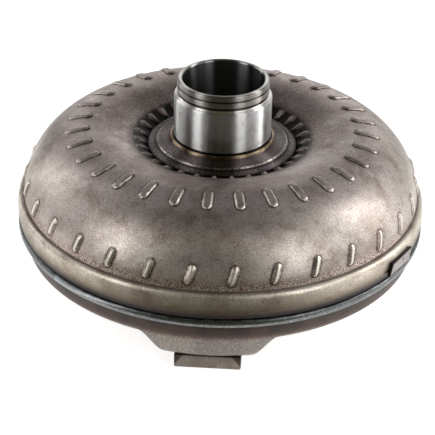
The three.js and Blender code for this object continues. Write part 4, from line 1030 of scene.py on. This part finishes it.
def hub_steel():
    """The hub's finish: journal, turned neck, flange skin and bore, by their places."""
    material, tree = fresh_material("ground_steel")
    where = add(tree, "ShaderNodeTexCoord").outputs["Object"]
    radius, height = radius_and_height(tree, where)
    upright = add(tree, "ShaderNodeCombineXYZ", None, {"Z": height}).outputs[0]
    lines, speck = blobs(tree, upright, LINE_SIZE, 2.0), blobs(tree, where, SPECK_SIZE, 2.0)
    stain, patch = blobs(tree, where, 6, 4.0), blobs(tree, where, 2.5)
    in_bore = zone(tree, radius, HUB_BORE + 0.7, HUB_BORE + 0.3)
    low = zone(tree, height, journal_foot, journal_foot - 0.3)
    high = zone(tree, height, journal_top + 0.3, journal_top + 0.9)
    worn_step_sheen = both(tree, stripe(tree, radius, WORN_LINE, 0.25, 0.7), fade(tree, patch, 0.38, 0.5))
    straw = zone(tree, radius, STRAW_EDGE, STRAW_EDGE - 0.4)

    base = paint(tree, "#bdbdbc", "#f2f2f1", lines)
    base = paint(tree, base, "#827d76", fade(tree, stain, 0.52, 0.7, 0.0, 0.35))
    base = paint(tree, base, turned_neck(tree, radius, height, lines, speck), high)
    base = paint(tree, base, flange_skin(tree, radius, stain, speck, worn_step_sheen, straw), low)
    base = paint(tree, base, "#8b8d8a", in_bore)
    dull = both(tree, low, less(tree, 1.0, either(tree, worn_step_sheen, straw)), less(tree, 1.0, in_bore))
    around = add(tree, "ShaderNodeTangent", {"direction_type": "RADIAL", "axis": "Z"})
    metal(tree, {
        "Base Color": base, "Metallic": 1.0,
        "Roughness": pushed(tree, fade(tree, dull, 0.0, 1.0, 0.38, 0.48), in_bore, -0.16),
        "Anisotropic": 1.0, "Anisotropic Rotation": QUARTER_TURN, "Tangent": around.outputs["Tangent"],
    }, (lines, 0.25, 0.05), (both(tree, speck, dull), 0.5, GRAIN_DEPTH))
    return material


finishes["hub_steel"] = hub_steel()
print("hub finish has", len(finishes["hub_steel"].node_tree.nodes), "nodes")

# %% [markdown]
# The cover is the same steel, pressed deeper and never polished: an even grey with fine grain.
# Below the bead, under its overhang, a dark band is painted shade with some weld scale, and it
# has a rusty lower edge. The bead itself has blue-black scale on top, a bare grey line along its
# belly that is also a painted highlight, painted glints, painted shade at its foot and a painted highlight on
# its start.

# %% Finish: pressed cover steel and weld bead
SCALE_AND_SHADE_FOOT, SCALE_AND_SHADE_FULL = 27.6, 31
START_HEIGHT = 4.2
STREAK_STRETCH = (1, 1, 6)


def cover_steel():
    """The cover's finish: grainy grey, with a dark band of painted shade and weld scale, and its rusty edge,
    above.
    """
    material, tree = fresh_material("pressed_cover_steel")
    where = add(tree, "ShaderNodeTexCoord").outputs["Object"]
    height = radius_and_height(tree, where)[1]
    grain, cloud = blobs(tree, where, SPECK_SIZE, 3.0, 0.6), blobs(tree, where, 14)
    base = paint(tree, "#857d79", "#989089", fade(tree, cloud, 0.35, 0.65))
    base = paint(tree, base, "#5d5450", fade(tree, grain, 0.5, 0.68, 0.0, 0.75))
    base = paint(tree, base, "#d6cfca", fade(tree, grain, 0.42, 0.3, 0.0, 0.6))
    ragged = pushed(tree, height, grain, 3.0 * MM)
    base = paint(tree, base, "#5b4339", stripe(tree, ragged, SCALE_AND_SHADE_FOOT + 1.4, 0.8, 3.4), 0.75)
    # The dark band up to the weld, under the bead's overhang: painted shade with some weld scale
    scale = paint(tree, "#3f3836", "#4f413c", fade(tree, cloud, 0.4, 0.6))
    base = paint(tree, base, scale, zone(tree, ragged, SCALE_AND_SHADE_FOOT, SCALE_AND_SHADE_FULL, 0.0, 0.92))
    metal(tree, {
        "Base Color": base, "Metallic": 0.85, "Roughness": fade(tree, grain, 0.35, 0.65, 0.5, 0.42),
    }, (grain, 0.5, GRAIN_DEPTH))
    return material


def weld_metal():
    """The bead's finish: streaked scale, a bare belly line that is also a painted highlight, painted glints,
    painted shade at the foot and a painted highlight on the raised start.
    """
    material, tree = fresh_material("weld_metal")
    where = add(tree, "ShaderNodeTexCoord").outputs["Object"]
    height = radius_and_height(tree, where)[1]
    drawn = add(tree, "ShaderNodeVectorMath", {"operation": "MULTIPLY"}, {
        0: where, 1: STREAK_STRETCH}).outputs[0]
    streak, glint = blobs(tree, drawn, 6, 4.0), blobs(tree, where, SPECK_SIZE, 2.0)
    wavy = pushed(tree, height, streak, 2.0 * MM)
    base = paint(tree, "#666868", "#3c3d3f", fade(tree, streak, 0.35, 0.65))
    belly = stripe(tree, wavy, WELD_FOOT + BELLY_HEIGHT, 1.2, 3.0)
    bare_belly_sheen = both(tree, belly, fade(tree, streak, 0.3, 0.6, 0.3, 1.0))
    # A pale line along the belly, with glints: bare metal and a painted highlight
    base = paint(tree, base, "#7b8080", bare_belly_sheen, 0.8)
    base = paint(tree, base, "#bcc0c0", bare_belly_sheen, fade(tree, glint, 0.57, 0.66))
    # Dark at the bead's foot: painted shade
    base = paint(tree, base, "#3a302d", zone(tree, height, WELD_FOOT + 1.4, WELD_FOOT + 0.3))
    # A pale band on the raised start: a painted highlight
    start = add(tree, "ShaderNodeAttribute", {"attribute_name": "bead_start"}).outputs["Fac"]
    crown = stripe(tree, height, WELD_FOOT + START_HEIGHT, 0.4, 1.6)
    base = paint(tree, base, "#ccd0d1", start, crown, 0.85)
    metal(tree, {"Base Color": base, "Metallic": 0.95, "Roughness": 0.34}, (glint, 0.35, GRAIN_DEPTH))
    return material


finishes.update({"cover_steel": cover_steel(), "weld_bead": weld_metal()})
print("finishes so far", list(finishes))

# %% [markdown]
# The lugs and the balance weight are sheared from bar and strip. The front of a lug has slanted
# dark corners and a dark line under its pad, and the weight has black edges round a grey face:
# painted shade, where the welds, the pad and the gap to the skirt shade them. Their own places,
# in mm from the middle of the piece, were kept as attributes, because each piece stands at its own angle.

# %% Finish: sheared bar and strip
LUG_SHADE_SLANT = 0.75
LUG_SHADE_FROM, LUG_SHADE_FULL = 21.2, 22.6
MARK_ACROSS, MARK_UP = 2.0, 4.6


def own_place(tree, name):
    """A point's place in its own piece, in mm: across, behind or up."""
    return add(tree, "ShaderNodeAttribute", {"attribute_name": "piece_" + name}).outputs["Fac"]


def lug_shade(tree, grain):
    """Slanted dark corners at the top of the front face, and a dark line under the pad: painted shade."""
    across, up = own_place(tree, "across"), own_place(tree, "up")
    sideways = add(tree, "ShaderNodeMath", {"operation": "ABSOLUTE"}, {0: across}).outputs[0]
    slant = pushed(tree, pushed(tree, sideways, up, LUG_SHADE_SLANT), grain, 2.0)
    corner = fade(tree, slant, LUG_SHADE_FROM, LUG_SHADE_FULL, 0.0, 0.8)
    return either(tree, corner, fade(tree, up, LUG_THICKNESS - 0.8, LUG_THICKNESS - 0.1, 0.0, 0.9))


def strip_shade_and_mark(tree, grain):
    """Black edges at the back, the left and the top, painted shadow from the gap to the skirt, and one small
    punched mark.
    """
    behind, across, up = (own_place(tree, name) for name in ("behind", "across", "up"))
    mark = both(tree, line_at(tree, across, MARK_ACROSS, 0.4, 1.0), line_at(tree, up, MARK_UP, 0.5, 1.1))
    left = fade(tree, across, -10.6, -11.3, 0.0, 0.95)
    top = fade(tree, up, WEIGHT_HEIGHT - 1.0, WEIGHT_HEIGHT - 0.5, 0.0, 0.95)
    border = either(tree, either(tree, left, top), fade(tree, behind, 0.3, 0.55, 0.0, 0.97))
    return either(tree, border, mark)


def sheared_steel(name, pale, dark, shade_and_marks):
    """Even grained steel whose painted shade and marks, given by a function, are nearly black."""
    material, tree = fresh_material(name)
    where = add(tree, "ShaderNodeTexCoord").outputs["Object"]
    grain, cloud = blobs(tree, where, SPECK_SIZE, 3.0, 0.6), blobs(tree, where, 9)
    base = paint(tree, dark, pale, fade(tree, cloud, 0.35, 0.65))
    base = paint(tree, base, "#4a423c", fade(tree, grain, 0.52, 0.68, 0.0, 0.6))
    base = paint(tree, base, "#211c1a", shade_and_marks(tree, grain))
    metal(tree, {"Base Color": base, "Metallic": 0.85, "Roughness": 0.46}, (grain, 0.5, GRAIN_DEPTH))
    return material


finishes["lug_steel"] = sheared_steel("sheared_bar_steel", "#8a8078", "#786f67", lug_shade)
strip_finish = sheared_steel("sheared_strip_steel", "#b3aca8", "#a39b97", strip_shade_and_mark)
print("sheared faces", finishes["lug_steel"].name, strip_finish.name)

# %% [markdown]
# The other metals differ in colour, grain and gloss but not in kind: a base colour, clouds of a
# second colour over it, a fine grain that also roughens the light. One recipe with its sizes in
# millimetres serves them, and each finish below is a line of real values.

# %% Finish: plain metals and linings
CONTRAST = 0.5


def grained(name, pale, dark, roughness, metallic=1.0, cloud=8.0, grain=0.8, depth=0.05):
    """A finish with clouds and grain: sizes in mm, colours as sRGB hex."""
    material, tree = fresh_material(name)
    where = add(tree, "ShaderNodeTexCoord").outputs["Object"]
    clouds, grains = blobs(tree, where, cloud, 5.0, 0.6), blobs(tree, where, grain)
    mixed = pushed(tree, clouds, grains, CONTRAST)
    share = fade(tree, mixed, 0.35 + CONTRAST * 0.4, 0.65 + CONTRAST * 0.6)
    metal(tree, {
        "Base Color": paint(tree, dark, pale, share), "Metallic": metallic,
        "Roughness": fade(tree, share, 0.0, 1.0, min(roughness + 0.1, 1), roughness - 0.05),
    }, (grains, 0.5, depth))
    return material


finishes.update({
    "sheet_steel": grained("stamped_sheet_steel", "#a7a6a3", "#7d7b78", 0.35),
    "cast_aluminium": grained("cast_aluminium", "#c9cbcc", "#9ea1a4", 0.45, cloud=5, grain=1.2, depth=0.12),
    "spring_steel": grained("oil_tempered_spring_steel", "#5a5c66", "#33343b", 0.3, cloud=5),
    "cage_steel": grained("pressed_cage_steel", "#b5b1a6", "#8b877c", 0.35, cloud=4),
    "hard_steel": grained("hardened_ground_steel", "#c3c4c7", "#94959a", 0.22, cloud=10, depth=0.02),
    "friction_lining": grained("friction_paper", "#57432f", "#35281d", 0.9, metallic=0.0, cloud=2, grain=0.5),
    "bearing_bronze": grained("bearing_bronze", "#b3905a", "#7f6238", 0.38, cloud=6),
})
print("finishes", len(finishes) + 1)

# %% [markdown]
# Each dressed piece takes the place of its CAD node, and every other node keeps its own mesh
# and gets the finish of its slot.

# %% Dress the casing and the nodes inside
slots = {part["node"]: part["material_slot"] for part in frame["record"]["subparts"]}
fit_on(shell, "casing", "impeller_shell", finishes["shell_steel"])
fit_on(cover, "casing", "front_cover", finishes["cover_steel"])
fit_on(hub, "casing", "pump_hub", finishes["hub_steel"])
fit_on(weld, "casing", "equator_weld", finishes["weld_bead"])
fit_on(weight, "casing", "balance_weight", strip_finish)
fit_on(pilot, "casing", "crank_pilot", finishes[slots["crank_pilot"]])
for number, lug in enumerate(lugs, start=1):
    fit_on(lug, "casing", f"drive_lug_{number}", finishes["lug_steel"])

for part in frame["record"]["subparts"]:
    node = frame["nodes"][part["node"]]
    node.data.materials.clear()
    node.data.materials.append(finishes[part["material_slot"]])

# %% [markdown]
# The studio is plain: a white floor, softboxes and dark cards. The floor is white to the camera
# and in reflections, by its own faint glow there, and gives off no light otherwise. It lies a
# tenth of a millimetre low, so that the lugs' faces don't share its plane.

# %% Studio: floor
FLOOR_SIZE = 12
FLOOR_DROP = 0.1 * MM
FLOOR_SHOWN = 0.8


def seen_share(tree):
    """1 for a ray from the camera, off something glossy or through glass, and 0 for the rest."""
    path = add(tree, "ShaderNodeLightPath").outputs
    seen = add(tree, "ShaderNodeMath", {"operation": "ADD"}, {
        0: path["Is Camera Ray"], 1: path["Is Glossy Ray"]}).outputs[0]
    return add(tree, "ShaderNodeMath", {"operation": "ADD", "use_clamp": True}, {
        0: seen, 1: path["Is Transmission Ray"]}).outputs[0]


def floor_material(colour):
    """A matt surface that glows a little to the camera and in reflections."""
    material, tree = fresh_material("white_floor")
    matt = add(tree, "ShaderNodeBsdfDiffuse", None, {"Color": linear(colour)})
    glow = add(tree, "ShaderNodeEmission", None, {
        "Color": linear(colour), "Strength": both(tree, seen_share(tree), FLOOR_SHOWN)})
    together = add(tree, "ShaderNodeAddShader", None, {0: matt.outputs[0], 1: glow.outputs[0]})
    add(tree, "ShaderNodeOutputMaterial", None, {"Surface": together.outputs[0]})
    return material


deselect()
bpy.ops.mesh.primitive_plane_add(size=FLOOR_SIZE, location=(0, 0, -FLOOR_DROP))
floor = bpy.context.object
floor.name = "floor"
floor.data.materials.append(floor_material("#f4f4f4"))
print("floor", FLOOR_SIZE, "m wide")

# %% [markdown]
# A hub this bright is a mirror of its room, so the boxes stand where the bright bands on the
# journal say they stood. They are tall and narrow, and a lamp's brightness is that of its face.

# %% Studio: softboxes
LOOK_AT = Vector((0, 0, 0.09))
BOX_ELEVATION, BOX_DISTANCE, BOX_HEIGHT = 20, 1.3, 1.15


def facing(azimuth, elevation, distance):
    """A matrix at a place seen from the converter, with its Z pointing away from it."""
    turn, rise = math.radians(azimuth), math.radians(elevation)
    towards = Vector((math.sin(turn) * math.cos(rise), -math.cos(turn) * math.cos(rise), math.sin(rise)))
    return (Matrix.Translation(towards * distance + LOOK_AT)
            @ towards.to_track_quat("Z", "Y").to_matrix().to_4x4())


def softbox(name, azimuth, width, radiance):
    """A tall lamp that faces the converter, given by how bright its face is."""
    lamp = bpy.data.lights.new(name, "AREA")
    lamp.shape = "RECTANGLE"
    lamp.size, lamp.size_y = width, BOX_HEIGHT
    lamp.energy = radiance * math.pi * width * BOX_HEIGHT
    box = bpy.data.objects.new(name, lamp)
    bpy.context.scene.collection.objects.link(box)
    box.matrix_world = facing(azimuth, BOX_ELEVATION, BOX_DISTANCE)
    box.visible_camera = False


for box_name, *box_values in (("box_left", -56, 0.46, 3.1), ("box_left_rear", -121, 0.24, 2.6),
                              ("box_right_front", 46, 0.48, 2.9), ("box_right", 98, 0.3, 6.4)):
    softbox(box_name, *box_values)
print("lamps", len(bpy.data.lights))

# %% [markdown]
# Between the boxes the steel mirrors dim walls, so cards stand all round, each as bright as the
# steel says. In front it mirrors the table it was photographed on, and at its sides a dark
# floor: cards that lie flat give these to reflections, and add no light of their own.

# %% Studio: walls, ceiling and dark cards on the floor
ROOM = 1.9
CARD_WIDTH, LOW_HEIGHT, HIGH_HEIGHT = 1.1, 1.5, 1.4
LOW_ELEVATION, HIGH_ELEVATION = 12, 52
CARD_LIFT = 0.0005
PLAIN, TABLE, FRONT_WALL = "#ffffff", "#8a8660", "#c6c08a"


def card(name, matrix, width, height, colour, strength):
    """A flat glowing card. The camera doesn't see it, and it casts no shadow."""
    deselect()
    bpy.ops.mesh.primitive_plane_add(size=1)
    panel = bpy.context.object
    panel.name = name
    panel.matrix_world = matrix @ Matrix.Diagonal((width, height, 1, 1))
    material, tree = fresh_material(name)
    glow = add(tree, "ShaderNodeEmission", None, {"Color": linear(colour), "Strength": strength})
    add(tree, "ShaderNodeOutputMaterial", None, {"Surface": glow.outputs[0]})
    panel.data.materials.append(material)
    panel.visible_camera = False
    panel.visible_shadow = False
    return panel


# How bright the walls are, clockwise from the front, low down and high up
WALL_LOW = [0.0, 0.05, 1.1, 0.3, 0.8, 1.2, 1.0, 0.15, 1.1, 0.05, 0.35, 0.0]
WALL_HIGH = [0.2, 0.0, 0.05, 0.42, 0.42, 0.1, 0.1, 0.3, 0.3, 0.06, 0.04, 0.2]
WALL_TURN = 360 / len(WALL_LOW)
for number, (low, high) in enumerate(zip(WALL_LOW, WALL_HIGH)):
    azimuth = (number + 0.5) * WALL_TURN
    colour = FRONT_WALL if number in (0, len(WALL_LOW) - 1) else PLAIN
    card(f"wall_low_{number}", facing(azimuth, LOW_ELEVATION, ROOM), CARD_WIDTH, LOW_HEIGHT, colour, low)
    card(f"wall_high_{number}", facing(azimuth, HIGH_ELEVATION, ROOM), CARD_WIDTH, HIGH_HEIGHT, colour, high)
card("ceiling", facing(0, 90, ROOM), 2 * CARD_WIDTH, 2 * CARD_WIDTH, PLAIN, 0.05)
for name, x, y, width, depth, strength in (
        ("dark_table", -0.03, -0.58, 0.62, 0.86, 0.36), ("floor_flag_0", -1.2, 0, 1.3, 3.7, 0.03),
        ("floor_flag_1", 1.2, 0, 1.3, 3.7, 0.03), ("floor_flag_2", 0, 1.2, 1.1, 1.3, 0.03)):
    flat_card = card(name, Matrix.Translation((x, y, CARD_LIFT)), width, depth, TABLE, strength)
    flat_card.visible_diffuse = False
print("cards", 2 * len(WALL_LOW) + 5)

# %% [markdown]
# The world is white to the camera and in reflections, and lights the converter more dimly.

# %% Studio: world
WORLD_LIGHT = 0.3
world = bpy.data.worlds.new("white_world")
bpy.context.scene.world = world
world.use_nodes = True
sky_tree = world.node_tree
sky_tree.nodes.clear()
sky = add(sky_tree, "ShaderNodeBackground", None, {
    "Color": (1, 1, 1, 1), "Strength": fade(sky_tree, seen_share(sky_tree), 0.0, 1.0, WORLD_LIGHT, 1.0)})
add(sky_tree, "ShaderNodeOutputWorld", None, {"Surface": sky.outputs[0]})
bpy.context.scene.view_settings.view_transform = "Standard"
print("world lights at", WORLD_LIGHT)
